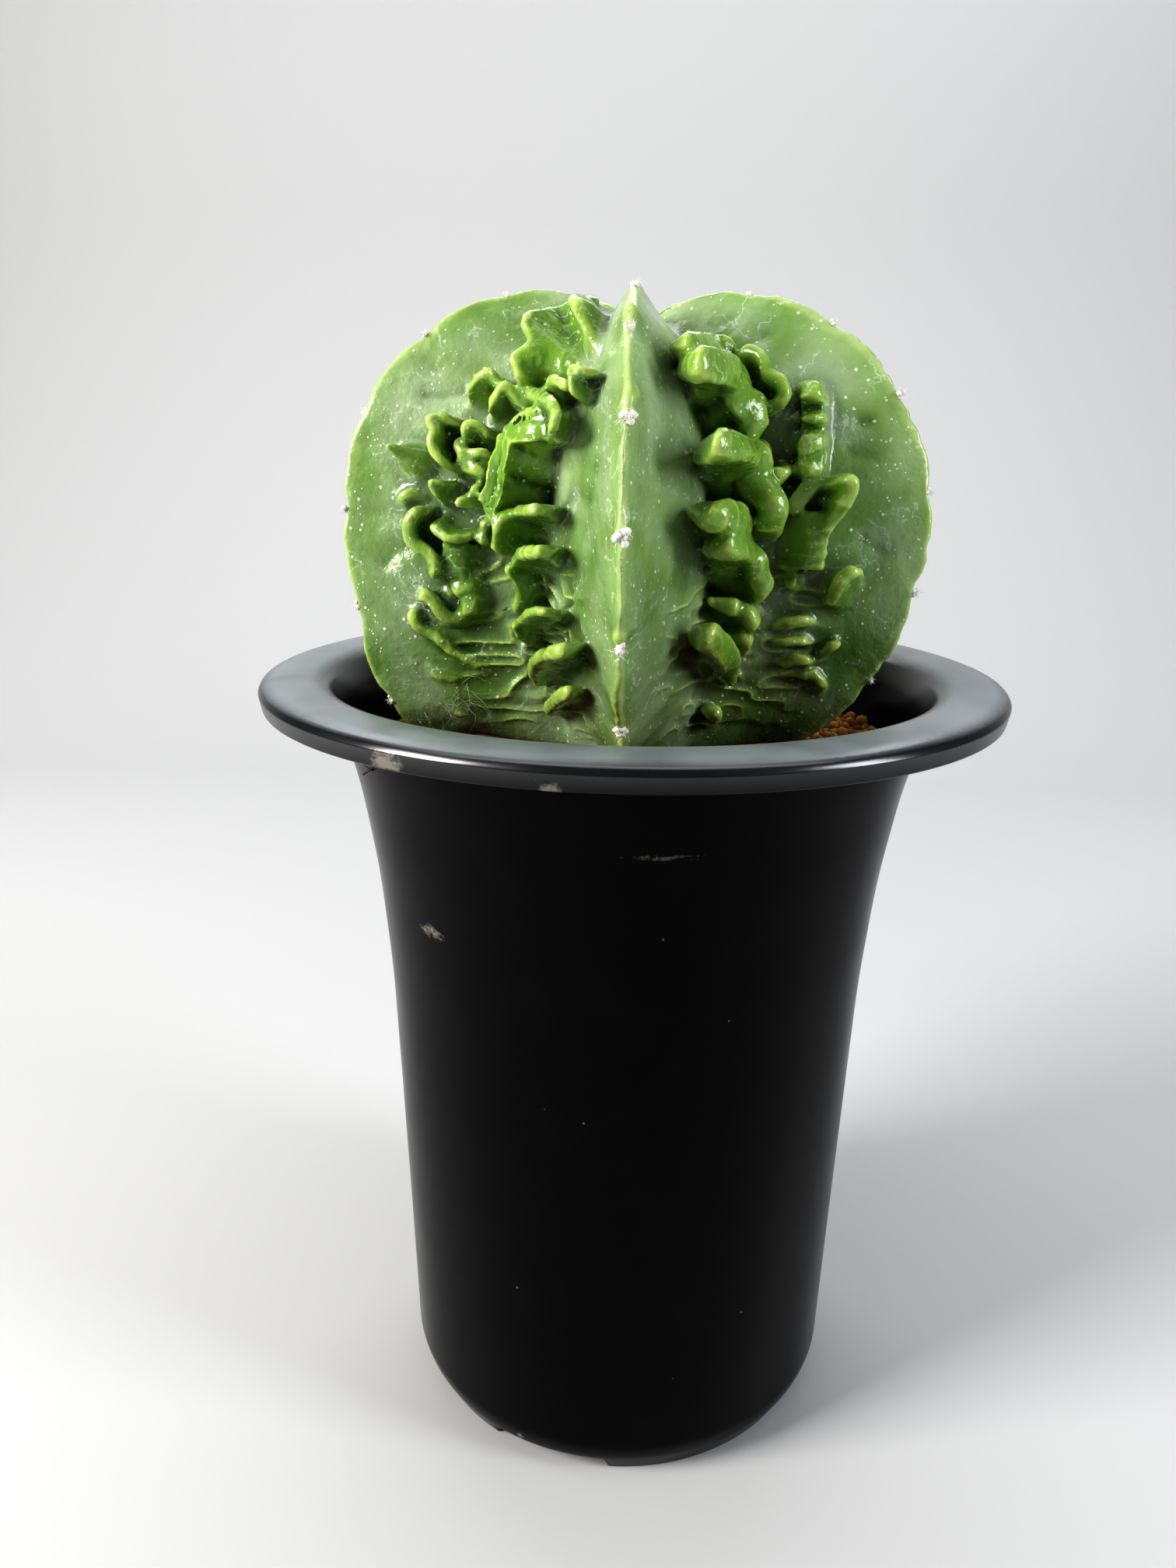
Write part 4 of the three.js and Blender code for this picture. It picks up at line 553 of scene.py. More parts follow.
def horn_surface(horn, furrow, mirror, shift):
    """A round finger from a sunk foot to a blunt tip, its radius falling smoothly."""
    foot_across, foot_up, tip_across, tip_up, rise, foot_radius, tip_radius = horn
    side = -1.0 if mirror else 1.0
    foot_depth = furrow_depth(np.array(side * foot_across), np.array(foot_up + shift))
    tip_depth = furrow_depth(np.array(side * tip_across), np.array(tip_up + shift))
    foot = furrow_point(furrow, side * foot_across, foot_depth - HORN_SINK, foot_up + shift)
    tip = furrow_point(furrow, side * tip_across, tip_depth + rise, tip_up + shift)
    axis = unit(tip - foot)
    first = unit(np.cross(axis, [0, 0, 1.0]))
    second = np.cross(axis, first)
    part = np.linspace(0, 1, HORN_RINGS)
    radius = foot_radius + (tip_radius - foot_radius) * ramp(part, 0, 0.8)
    radius = radius * np.sqrt(np.clip(1 - ramp(part, 0.75, 1.02) ** 2, 0.02, 1))
    angle = np.linspace(0, 2 * np.pi, HORN_SIDES, endpoint=False)
    circle = np.cos(angle)[:, None] * first + np.sin(angle)[:, None] * second
    rings = (foot + part[:, None] * (tip - foot))[:, None] + radius[:, None, None] * circle
    return closed_loft(rings, foot, tip)


def body_surface():
    """The ribbed body on a grid of longitude and latitude, with its underside and main root."""
    share = np.linspace(0, 1, SIDE_POINTS)
    latitude = np.linspace(BASE_LATITUDE, TOP_LATITUDE, BODY_ROWS)
    longitude = []
    for rib in range(RIBS):
        edge = bead_angle(latitude, rib)[:, None]
        half = edge + (HALF - edge) * share[1:-1]
        bead = edge * np.linspace(0, 1, BEAD_POINTS)
        right = np.hstack([bead, half])
        middle = 2 * HALF * rib
        left_half = middle - np.hstack([right[:, 1:], np.full((len(latitude), 1), HALF)])[:, ::-1]
        longitude.append(np.hstack([left_half, middle + right]))
    longitude = np.hstack(longitude)
    rows = skin_point(longitude, latitude[:, None] * np.ones_like(longitude))
    azimuth = FRONT + longitude[0]
    around = np.stack([np.sin(azimuth), -np.cos(azimuth)], -1)

    def ring(radius, z):
        """A level ring of the root, with a point under each column of the body."""
        return np.hstack([around * radius, np.full((len(around), 1), z)])
    under = rows[0] * [UNDERSIDE_SHARE, UNDERSIDE_SHARE, 0] + [0, 0, COLLAR_Z + UNDERSIDE_RISE]
    root = [ring(ROOT_TIP_RADIUS, ROOT_TIP_Z), ring(COLLAR_RADIUS * WAIST_SHARE, ROOT_WAIST_Z),
            ring(COLLAR_RADIUS, SHOULDER_Z), ring(COLLAR_RADIUS, COLLAR_Z), under]
    rings = np.concatenate([np.stack(root), rows])
    crown = [0, 0, BODY_Z + float(crest_radius(np.array(np.pi / 2), 0)) - 1.5]
    return closed_loft(rings, [0, 0, ROOT_TIP_Z - 2], crown)


def cactus_shells():
    """All closed shells of the plant, as (points, faces)."""
    shells = [body_surface()]
    for furrow, folds, fan in ((LEFT_FURROW, LEFT_FOLDS, LEFT_FAN),
                               (RIGHT_FURROW, RIGHT_FOLDS, RIGHT_FAN)):
        for fold in (*folds, *fan_folds(fan)):
            shells += fold_surface(fold, furrow, False, 0.0)
    shells += [horn_surface(horn, LEFT_FURROW, False, 0.0) for horn in LEFT_HORNS]
    for furrow, folds, mirror, shift in HIDDEN_FURROWS:
        for fold in folds:
            if max(row[4] for row in fold[3]) >= HIDDEN_RISE:
                shells += fold_surface(fold, furrow, mirror, shift, HIDDEN_WAVE)
    return shells


def mesh_object(name, points, faces, smooth=True):
    """A named object at the origin from points in millimetres."""
    mesh = bpy.data.meshes.new(name)
    mesh.from_pydata((np.asarray(points) * MM).tolist(), [], faces)
    mesh.update()
    mesh.polygons.foreach_set("use_smooth", np.full(len(mesh.polygons), smooth))
    obj = bpy.data.objects.new(name, mesh)
    bpy.context.scene.collection.objects.link(obj)
    return obj


def joined(shells):
    """One list of points and faces from several."""
    points, faces, start = [], [], 0
    for shell_points, shell_faces in shells:
        points.append(shell_points)
        faces += [[start + i for i in face] for face in shell_faces]
        start += len(shell_points)
    return np.vstack(points), faces


def apply_modifiers(obj):
    """Gives the object the mesh that its modifiers make, and removes them."""
    graph = bpy.context.evaluated_depsgraph_get()
    mesh = bpy.data.meshes.new_from_object(obj.evaluated_get(graph))
    old = obj.data
    obj.modifiers.clear()
    obj.data = mesh
    mesh.name = old.name
    bpy.data.meshes.remove(old)


def vector_rows(vectors, field):
    """A mesh's vertices or normals as rows of x, y and z."""
    values = np.empty(len(vectors) * 3)
    vectors.foreach_get(field, values)
    return values.reshape(-1, 3)


def edge_pairs(mesh):
    """The two vertices of each edge."""
    pairs = np.empty(len(mesh.edges) * 2, int)
    mesh.edges.foreach_get("vertices", pairs)
    return pairs.reshape(-1, 2)


def spread(values, pairs, rounds):
    """Mean of each vertex and its neighbours, taken again and again."""
    count = len(values)
    degree = np.bincount(pairs.ravel(), minlength=count) + 1.0
    columns = values.reshape(count, -1)
    for _ in range(rounds):
        total = columns.copy()
        for k in range(columns.shape[1]):
            column = columns[:, k]
            total[:, k] += np.bincount(pairs[:, 0], column[pairs[:, 1]], count)
            total[:, k] += np.bincount(pairs[:, 1], column[pairs[:, 0]], count)
        columns = total / degree[:, None]
    return columns.reshape(values.shape)


def point_attribute(mesh, name, values):
    """Puts a number at each vertex, for a material to read."""
    layer = mesh.attributes.new(name, "FLOAT", "POINT")
    layer.data.foreach_set("value", values.astype(np.float32))


def fill_creases(points, pairs, normals, rounds):
    """Rounds the inner corners only: a point moves to the mean of its neighbours where that lies
    further out, so folds run into the body in a fillet and keep their rims."""
    for _ in range(rounds):
        step = ((spread(points, pairs, 1) - points) * normals).sum(1)
        points = points + (FILL_SHARE * np.maximum(step, 0))[:, None] * normals
    return points


# Dents and ridges drawn on the skin: how far it moves out, how wide, and the line, in mm
STROKES = (
    (-0.8, 2.2, ((-12.4, -35.4, 216.8), (-10.1, -41.0, 217.5), (-7.8, -47.2, 217.2))),
    (0.5, 1.2, ((-13.1, -32.6, 218.5), (-10.7, -38.3, 219.6), (-7.4, -47.1, 219.5))),
    (-0.8, 1.3, ((-12.9, -35.3, 212.0), (-10.8, -41.0, 211.7), (-9.1, -45.5, 211.3))),
    (-0.7, 5, ((-10.7, -41.0, 207.1), (-9.5, -45.0, 204.5))),
    (-0.6, 4.5, ((-10.0, -43.4, 197.3), (-8.9, -44.9, 193.4))),
    (-0.6, 3, ((-6.8, -46.1, 225.6), (-7.8, -44.4, 222.8))),
    (0.9, 1.3, ((-0.3, -53.6, 228.9), (-1.9, -55.3, 228.0), (-3.5, -54.0, 226.7))),
    (0.9, 1.3, ((-0.6, -59.9, 209.5), (-1.6, -60.7, 208.4), (-2.9, -60.1, 207.1))),
    (0.8, 1.3, ((0.6, -55.2, 190.6), (-0.6, -57.6, 190.0), (-2.0, -58.0, 188.8))),
    (-0.5, 1.4, ((-2.6, -50.1, 235.5), (-3.1, -52.9, 230.9), (-3.1, -54.3, 228.2))),
    (-0.5, 1.6, ((-2.5, -57.0, 223.3), (-2.3, -60.1, 217.6), (-1.9, -61.1, 211.4))),
    (-0.5, 1.6, ((-2.5, -60.6, 204.0), (-2.3, -60.9, 197.1), (-1.3, -59.5, 192.2))),
    (-0.6, 2.6, ((3.5, -49.3, 218.8), (5.5, -45.1, 217.8))),
    (0.8, 2.6, ((-0.5, -41.6, 242.4), (3.6, -34.4, 239.8), (8.0, -26.8, 236.8))),
    (-0.7, 6, ((2.6, -52.7, 212.8), (3.4, -51.4, 203.3))),
    (-1, 1.6, ((18.9, -16.0, 238.6), (21.3, -15.0, 240.4), (24.0, -14.4, 241.9))),
    (-0.6, 2.2, ((13.8, -12.1, 241.6), (17.1, -11.4, 243.5))),
    (-0.8, 1.2, ((43.4, -20.4, 225.6), (44.7, -20.4, 225.8))),
    (-0.9, 1.6, ((41.7, -21.6, 219.7), (43.9, -21.7, 219.2), (45.9, -21.6, 218.7))),
    (0.7, 3, ((39.1, -22.0, 217.7), (43.5, -22.0, 217.2), (46.7, -21.8, 217.8))),
    (-0.9, 1.6, ((45.0, -22.7, 203.4), (46.4, -22.5, 202.4), (48.2, -22.4, 201.6))),
    (-0.9, 7, ((28.9, -16.9, 237.3), (33.1, -18.3, 234.8))),
    (-0.7, 6, ((41.8, -18.8, 232.8), (46.9, -20.0, 226.6))),
    (-1.1, 1.4, ((-41.4, -17.0, 229.2), (-38.1, -17.3, 229.3), (-34.4, -17.5, 230.0))),
    (0.6, 2.4, ((-42.0, -17.4, 227.4), (-38.0, -17.7, 228.0), (-35.2, -18.1, 228.2))),
    (-0.9, 1.8, ((-42.5, -14.5, 237.0), (-40.2, -15.5, 234.9))),
    (-0.8, 7, ((-36.7, -14.4, 237.3), (-31.7, -14.3, 238.9))),
    (-0.7, 5, ((-51.8, -18.3, 213.7), (-52.6, -18.1, 207.1))),
    (-0.9, 1.6, ((-50.3, -18.5, 196.5), (-48.1, -19.1, 199.2), (-45.7, -19.5, 200.6))),
    (0.8, 4, ((-49.7, -18.3, 193.1), (-47.1, -18.9, 196.1))),
)


def press_strokes(points, normals):
    """Moves the points near each stroke's line along their normals, by the stroke's depth times
    exp(-(distance / width)^2)."""
    moved = np.zeros(len(points))
    for depth, width, line in STROKES:
        line = np.array(line)
        near = np.full(len(points), np.inf)
        for start, end in zip(line[:-1], line[1:]):
            way = end - start
            part = np.clip((points - start) @ way / (way @ way), 0, 1)
            near = np.minimum(near, np.linalg.norm(points - start - part[:, None] * way, axis=1))
        moved += STROKE_DEPTH * depth * np.exp(-(near / (STROKE_WIDTH * width)) ** 2)
    return points + moved[:, None] * normals


def furrow_place(points):
    """Each point's place in its furrow: across it, up from the body's middle, and how far it
    stands out from the bare ribbed body, which counts as nothing near the ribs' crests."""
    middle = points - [0, 0, BODY_Z]
    flat = np.hypot(middle[:, 0], middle[:, 1])
    longitude = np.arctan2(middle[:, 0], -middle[:, 1]) - FRONT
    furrow = np.floor(longitude / (2 * HALF))
    azimuth = longitude - HALF * (2 * furrow + 1)
    across = flat * np.sin(azimuth)
    stands = flat * np.cos(azimuth) - furrow_depth(across, middle[:, 2])
    from_plane = flat * np.sin(HALF - np.abs(azimuth))
    return across, middle[:, 2], stands * ramp(from_plane, *CREST_BAND)


def wander_crests(points):
    """Shifts the points near a rib's plane sideways by up to 0.85 mm and in by up to 0.8 mm, so
    crests run unevenly and are a little ragged."""
    azimuth = np.arctan2(points[:, 0], -points[:, 1])
    rib = FRONT + 2 * HALF * np.round((azimuth - FRONT) / (2 * HALF))
    flat = np.hypot(points[:, 0], points[:, 1])
    near = np.exp(-(flat * np.sin(azimuth - rib) / 3.0) ** 2) * ramp(flat, 14, 22)
    shift = near * (0.6 * noise(points, 10, 4) + 0.25 * noise(points, 4, 5))
    sideways = shift[:, None] * np.stack([np.cos(rib), np.sin(rib), 0 * rib], -1)
    ragged = 0.8 * near ** 2 * np.maximum(noise(points, 3.4, 9), 0)
    return points + sideways - ragged[:, None] * unit(points - [0, 0, BODY_Z])


def wrinkle_height(points, across, up, grown):
    """How far the skin moves out: low swells all over, level wrinkles low down in the furrows and
    a fine crinkle on the growths, both as ridges of (1 - |noise|)^3, and none at the base."""
    low = 0.30 * noise(points, 12, 1) + 0.10 * noise(points, 5, 2)
    bent = points / [7.0, 7.0, 2.6] + 0.8 * noise(points, 9, 8)[:, None]
    level = (1 - np.abs(noise(bent, 1, 3))) ** 3
    furrowed = ramp(-np.abs(across), -24, -13) * ramp(-up, 2, 12) * ramp(-grown, -3.5, -1.5)
    above = ramp(points[:, 2], 161, 166)
    crinkled = 0.22 * ((1 - np.abs(noise(points / [2.8, 2.8, 4.5], 1, 6))) ** 3 - 0.4)
    crinkled = crinkled * ramp(grown, 1.0, 3.0)
    return (low + 0.9 * (level - 0.4) * furrowed + crinkled) * above


def make_cactus():
    """The plant in one skin: its shells are fused on a fine voxel grid, softened, their creases
    filled, their crests made ragged, then wrinkled, dented by the strokes, and thinned.
    Attributes for the colours, which paint shade into the hollows and creases and light onto the
    thin rims: relief and fine are the height over the skin smoothed widely and closely, and grown
    is the height over the bare ribbed body."""
    obj = mesh_object("cactus_skin", *joined(cactus_shells()))
    remesh = obj.modifiers.new("fuse", "REMESH")
    remesh.mode = "VOXEL"
    remesh.voxel_size = VOXEL * MM
    remesh.use_smooth_shade = True
    apply_modifiers(obj)
    mesh = obj.data
    pairs = edge_pairs(mesh)
    points = spread(vector_rows(mesh.vertices, "co") / MM, pairs, 1)
    for _ in range(2):
        mesh.vertices.foreach_set("co", (points * MM).ravel())
        mesh.update()
        points = fill_creases(points, pairs, vector_rows(mesh.vertex_normals, "vector"), 3)
    points = wander_crests(spread(points, pairs, 1))
    normals = vector_rows(mesh.vertex_normals, "vector")
    across, up, grown = furrow_place(points)
    points = points + wrinkle_height(points, across, up, grown)[:, None] * normals
    points = press_strokes(points, normals)
    mesh.vertices.foreach_set("co", (points * MM).ravel())
    mesh.update()
    normals = vector_rows(mesh.vertex_normals, "vector")
    for name, rounds in (("relief", 40), ("fine", 8)):
        height = ((points - spread(points, pairs, rounds)) * normals).sum(1)
        point_attribute(mesh, name, height)
    point_attribute(mesh, "grown", grown)
    thin = obj.modifiers.new("thin", "DECIMATE")
    triangles = sum(len(face.vertices) - 2 for face in mesh.polygons)
    thin.ratio = min(1.0, SKIN_TRIANGLES / triangles)
    apply_modifiers(obj)
    mesh = obj.data
    mesh.polygons.foreach_set("use_smooth", np.ones(len(mesh.polygons), bool))
    return obj


def drain_tube(x, y):
    """A closed upright tube through the floor, as wide as a drain hole."""
    low, high = 1.0, FLOOR_Z + 3
    angle = np.linspace(0, 2 * np.pi, DRAIN_SIDES, endpoint=False)
    circle = np.stack([x + DRAIN_RADIUS * np.cos(angle), y + DRAIN_RADIUS * np.sin(angle),
                       0 * angle], -1)
    tube = np.stack([circle + [0, 0, low], circle + [0, 0, high]])
    return closed_loft(tube, [x, y, low], [x, y, high])


def make_pot():
    """The pot as a turned shell: its profile is rounded at each corner, and arches are cut into
    the foot ring by raising its lower edge. Round drain holes go through the floor. A corner is
    its radius, its height and how far from it the rounding starts."""
    inner = FOOT_RADIUS - FOOT_WALL
    corners = np.array([
        [0.2, FOOT_HEIGHT, 0], [inner - 0.6, FOOT_HEIGHT, 0.3], [inner, 0.0, 0.3],
        [FOOT_RADIUS, 0.0, 0.4], [FOOT_RADIUS + 3, 5.5, 1.2], [50.5, 8.5, 1.2], [51.8, 45, 6],
        [54.2, 105, 8], [56.5, 130, 8], [59.9, 150, 5], [63.4, 163, 3], [65.8, 169.6, 1.0],
        [77.4, 169.6, 0.5], [77.8, SKIRT_Z, 0.3], [79.3, SKIRT_Z, 0.5], [POT_RADIUS, 170.6, 0.3],
        [POT_RADIUS - 0.7, 171.9, 0.9], [77, 172.7, 1.2], [73, POT_HEIGHT, 1.5], [68.5, 172.8, 1.5],
        [MOUTH_RADIUS, MOUTH_Z, 1.2], [61.2, 163, 3], [57.7, 150, 5], [54.3, 130, 8], [52, 105, 8],
        [49.6, 45, 6], [48.3, FLOOR_Z + 1.6, 1.0], [46.4, FLOOR_Z, 0.4], [0.2, FLOOR_Z, 0]])
    profile = [corners[0, :2]]
    for before, corner, after in zip(corners[:-2], corners[1:-1], corners[2:]):
        point, size = corner[:2], corner[2]
        start = point + unit(before[:2] - point) * size
        end = point + unit(after[:2] - point) * size
        for part in np.linspace(0, 1, 5):
            profile.append((1 - part) ** 2 * start + 2 * part * (1 - part) * point
                           + part ** 2 * end)
    profile.append(corners[-1, :2])
    profile = np.array(profile)
    angle = np.linspace(0, 2 * np.pi, POT_SIDES, endpoint=False)
    radius, z = profile.T
    rings = np.stack([radius[:, None] * np.sin(angle), -radius[:, None] * np.cos(angle),
                      z[:, None] * np.ones_like(angle)], -1)
    turn = 2 * np.pi / ARCHES
    away = (angle - np.radians(ARCH_AZIMUTH) + turn / 2) % turn - turn / 2
    from_edge = ARCH_WIDTH / 2 - np.abs(away) * FOOT_RADIUS
    lift = ARCH_HEIGHT * ramp(from_edge, -0.4, 1.6)
    foot = np.arange(len(profile))[:, None] < FOOT_RINGS
    rings[..., 2] = np.where(foot & (rings[..., 2] < lift), lift, rings[..., 2])
    points, faces = closed_loft(rings, [0, 0, FOOT_HEIGHT], [0, 0, FLOOR_Z])
    obj = mesh_object("pot_shell", points, faces)
    holes = [drain_tube(0.0, 0.0)]
    for turned in 2 * np.pi * np.arange(DRAINS) / DRAINS:
        holes.append(drain_tube(DRAIN_RING * np.cos(turned), DRAIN_RING * np.sin(turned)))
    cutter = mesh_object("drain_cutter", *joined(holes))
    cut = obj.modifiers.new("drain", "BOOLEAN")
    cut.object = cutter
    cut.operation = "DIFFERENCE"
    cut.solver = "EXACT"
    apply_modifiers(obj)
    bpy.data.objects.remove(cutter)
    obj.data.set_sharp_from_angle(angle=np.radians(40))
    return obj


# Scuffs and dust: azimuth in degrees, height, half width, half height and strength
SCUFFS = (
    (6, 149, 15, 1.3, 1.05), (-44, 126, 7, 2.4, 0.75), (-26, 124, 13, 1.6, 0.95),
    (-6, 91, 8, 1.6, 0.9), (20, 93, 20, 1.1, 1.0), (-5, 120, 2, 2, 0.5), (36, 69, 1.6, 1.6, 0.6),
    (-11, 21, 1.1, 1.2, 0.9), (14, 17, 1.2, 1.2, 0.9), (-25, 6, 1.4, 1.6, 0.9),
    (16, 36, 1, 1.2, 0.7), (18, 42, 1.2, 1.2, 0.7), (-31, 168.8, 5, 2.2, 1.2),
    (-9, 168, 3, 1.6, 1.0), (52, 169.5, 22, 1.6, 0.7), (112, 140, 12, 2, 0.7),
    (160, 96, 9, 1.8, 0.8), (205, 120, 11, 1.5, 0.8), (250, 150, 8, 1.8, 0.7),
    (290, 60, 7, 1.6, 0.7), (140, 168.6, 6, 2, 0.9), (230, 169, 5, 2, 0.9))


def pot_wear(obj):
    """Puts on the pot's mesh how scuffed it is: the strongest of the scuffs, each its strength
    times exp(-(distance / half size)^2) across and up."""
    mesh = obj.data
    points = vector_rows(mesh.vertices, "co") / MM
    azimuth = np.degrees(np.arctan2(points[:, 0], -points[:, 1]))
    radius = np.hypot(points[:, 0], points[:, 1])
    wear = np.zeros(len(points))
    for place, z, half_width, half_height, strength in SCUFFS:
        arc = np.radians((azimuth - place + 180) % 360 - 180) * radius
        spot = np.exp(-(arc / half_width) ** 2 - ((points[:, 2] - z) / half_height) ** 2)
        wear = np.maximum(wear, strength * spot)
    point_attribute(mesh, "wear", wear)


def unit_ball(rounds):
    """Points and faces of a ball of near-equal triangles: an octahedron, each face split in four,
    with every point pushed out to radius 1."""
    points = [(1, 0, 0), (-1, 0, 0), (0, 1, 0), (0, -1, 0), (0, 0, 1), (0, 0, -1)]
    faces = [(0, 2, 4), (2, 1, 4), (1, 3, 4), (3, 0, 4), (2, 0, 5), (1, 2, 5), (3, 1, 5), (0, 3, 5)]
    points = [np.array(p, float) for p in points]
    for _ in range(rounds):
        middle = {}
        split = []

        def between(a, b):
            """The point halfway between two, made once for both faces of an edge."""
            key = (min(a, b), max(a, b))
            if key not in middle:
                middle[key] = len(points)
                points.append(unit(points[a] + points[b]))
            return middle[key]
        for a, b, c in faces:
            ab, bc, ca = between(a, b), between(b, c), between(c, a)
            split += [(a, ab, ca), (ab, b, bc), (ca, bc, c), (ab, bc, ca)]
        faces = split
    return np.array(points), faces


def make_soil_grains():
    """Baked clay granules: lumpy balls, thrown by a seeded draw over a ring of soil. A throw too
    near an earlier granule is dropped, and those under the plant lie a little lower."""
    random = np.random.default_rng(11)
    ball_points, ball_faces = unit_ball(1)
    grid = {}
    for _ in range(GRAIN_THROWS):
        radius = np.sqrt(random.uniform(SOIL_INNER ** 2, SOIL_RADIUS ** 2))
        angle = random.uniform(0, 2 * np.pi)
        size = random.uniform(0.75, 1.2) * GRAIN_RADIUS
        x, y = radius * np.cos(angle), radius * np.sin(angle)
        column, row = int(x // GRAIN_CELL), int(y // GRAIN_CELL)
        near = [spot for i in (-1, 0, 1) for j in (-1, 0, 1)
                for spot in grid.get((column + i, row + j), ())]
        if all((x - a) ** 2 + (y - b) ** 2 > (GRAIN_CLOSE * (size + c)) ** 2 for a, b, c in near):
            grid.setdefault((column, row), []).append((x, y, size))
    spots = np.array([spot for cell in grid.values() for spot in cell])
    x, y, size = spots.T
    fall = SOIL_FALL * np.maximum(0, -x / SOIL_RADIUS)
    under = ramp(-np.hypot(x, y), -42, -34)
    z = SOIL_Z - 1.0 - fall + random.uniform(-0.5, 0.9, len(spots)) - under * 1.4
    middles = np.stack([x, y, z], -1)
    stretch = (1 + random.uniform(-0.18, 0.18, (len(spots), 3))) * size[:, None]
    shells = []
    for index in range(len(spots)):
        lump = ball_points * (1 + 0.16 * noise(ball_points + index * 3.7, 0.8, 5))[:, None]
        shells.append((lump * stretch[index] + middles[index], ball_faces))
    points, faces = joined(shells)
    obj = mesh_object("soil_grains", points, faces)
    shade = np.repeat(random.uniform(0, 1, len(spots)), len(ball_points))
    point_attribute(obj.data, "shade", shade)
    return obj


def fibre_shells(roots, ways, lengths, radius, curl, random):
    """Tapered three-sided fibres: each follows a curved line from its root and closes in a point.
    The lines of all fibres are worked out together."""
    count = len(roots)
    part = np.linspace(0, 1, FIBRE_RINGS)
    side = unit(np.cross(ways, random.normal(size=(count, 3))))
    bend = random.normal(0, curl, (count, 1)) * lengths[:, None]
    other = unit(np.cross(ways, side))
    twist = random.normal(0, curl * 0.6, (count, 1)) * lengths[:, None]
    line = (roots[:, None] + part[:, None] * (ways * lengths[:, None])[:, None]
            + (part ** 2)[:, None] * (side * bend)[:, None]
            + (np.sin(part * 5) * part)[:, None] * (other * twist)[:, None])
    width = radius * (1 - FIBRE_TAPER * part)
    angle = 2 * np.pi * np.arange(FIBRE_SIDES) / FIBRE_SIDES
    circle = (np.cos(angle)[:, None] * side[:, None] + np.sin(angle)[:, None] * other[:, None])
    rings = line[:, :, None] + width[:, None, None] * circle[:, None]
    return [closed_loft(rings[index], line[index, 0], line[index, -1]) for index in range(count)]


def areole_places():
    """Every areole's rib, point on the crest, the way out there, and latitude."""
    places = []
    for rib in range(RIBS):
        for index in range(AREOLES):
            latitude = np.radians(AREOLE_START + AREOLE_SHIFT[rib] + AREOLE_STEP * index)
            point = skin_point(np.array(2 * HALF * rib), np.array(latitude))
            places.append((rib, point, unit(point - [0, 0, BODY_Z]), latitude))
    return places


def make_wool():
    """The areoles' wool: dense tufts of short curled fibres round a few lumps, on the crests."""
    random = np.random.default_rng(5)
    shells = []
    ball_points, ball_faces = unit_ball(1)
    for rib, place, out, latitude in areole_places():
        size = (1.15 if rib == 0 else 0.7) * (1.0 if latitude < 0.5 else 0.7)
        along = unit(np.cross(out, [0, 0, 1.0]))
        up = np.cross(along, out)
        for _ in range(TUFT_LUMPS):
            offset = random.normal(0, 0.5, 3) * size
            middle = (place + out * (abs(offset[0]) * 0.5 - 0.3) + along * offset[1]
                      + up * offset[2])
            lump = ball_points * (1 + 0.35 * noise(ball_points + offset * 9, 0.6, 8))[:, None]
            shells.append((middle + lump * 0.62 * size, ball_faces))
        ways = unit(random.normal(size=(TUFT_FIBRES, 3)) * 0.75 + out * 0.8)
        roots = place - out * 0.2 + random.normal(0, 0.5 * size, (TUFT_FIBRES, 3))
        lengths = random.uniform(0.8, 1.7, TUFT_FIBRES) * size
        shells += fibre_shells(roots, ways, lengths, 0.06, 0.3, random)
    return mesh_object("areole_wool", *joined(shells))


def make_hairs():
    """Loose pale hairs that hang from the left rib over the soil."""
    random = np.random.default_rng(9)
    longitude = np.radians(random.uniform(-74, -60, HAIRS))
    latitude = np.radians(random.uniform(-46, -40, HAIRS))
    roots = skin_point(longitude, latitude)
    ways = unit(np.stack([random.normal(-0.1, 0.8, HAIRS), np.full(HAIRS, -0.8),
                          random.normal(-0.35, 0.45, HAIRS)], -1))
    lengths = random.uniform(4, 9, HAIRS)
    shells = fibre_shells(roots, ways, lengths, 0.045, 0.4, random)
    return mesh_object("loose_hairs", *joined(shells))


def make_scrap():
    """A tiny dried dark-red scrap inside the mouth at the left."""
    random = np.random.default_rng(3)
    size = (SCRAP_FIBRES, 3)
    middle = np.array([-47.5, -35.0, SOIL_Z - 0.2])
    roots = middle + random.normal(0, 1.6, size) * [1.6, 1, 0.3]
    ways = unit(random.normal(size=size) * [1.6, 1, 0.5] + [0, 0, 0.25])
    lengths = random.uniform(2.5, 5, SCRAP_FIBRES)
    shells = fibre_shells(roots, ways, lengths, 0.28, 0.3, random)
    return mesh_object("dried_scrap", *joined(shells))


def linear(hex_colour):
    """An sRGB hex colour as linear red, green, blue and alpha."""
    values = [int(hex_colour[i:i + 2], 16) / 255 for i in (1, 3, 5)]
    return [v / 12.92 if v <= 0.04045 else ((v + 0.055) / 1.055) ** 2.4 for v in values] + [1.0]


def node(tree, kind, inputs=None, out=0, **settings):
    """Adds a shader node with its settings and returns the output named or numbered by out, if it
    has one. Each input gets a socket to join, a plain value or an sRGB hex colour."""
    new = tree.nodes.new("ShaderNode" + kind)
    for name, value in settings.items():
        setattr(new, name, value)
    for key, value in (inputs or {}).items():
        if isinstance(value, bpy.types.NodeSocket):
            tree.links.new(value, new.inputs[key])
        else:
            new.inputs[key].default_value = linear(value) if isinstance(value, str) else value
    return new.outputs[out] if new.outputs else None


def new_material(name):
    """A node material with nothing in it yet, and its tree."""
    material = bpy.data.materials.new(name)
    material.use_nodes = True
    material.node_tree.nodes.clear()
    return material, material.node_tree


def end_material(tree, sockets):
    """Ends a material with its shader, whose sockets are joined or set, and the output."""
    node(tree, "OutputMaterial", {"Surface": node(tree, "BsdfPrincipled", sockets)})


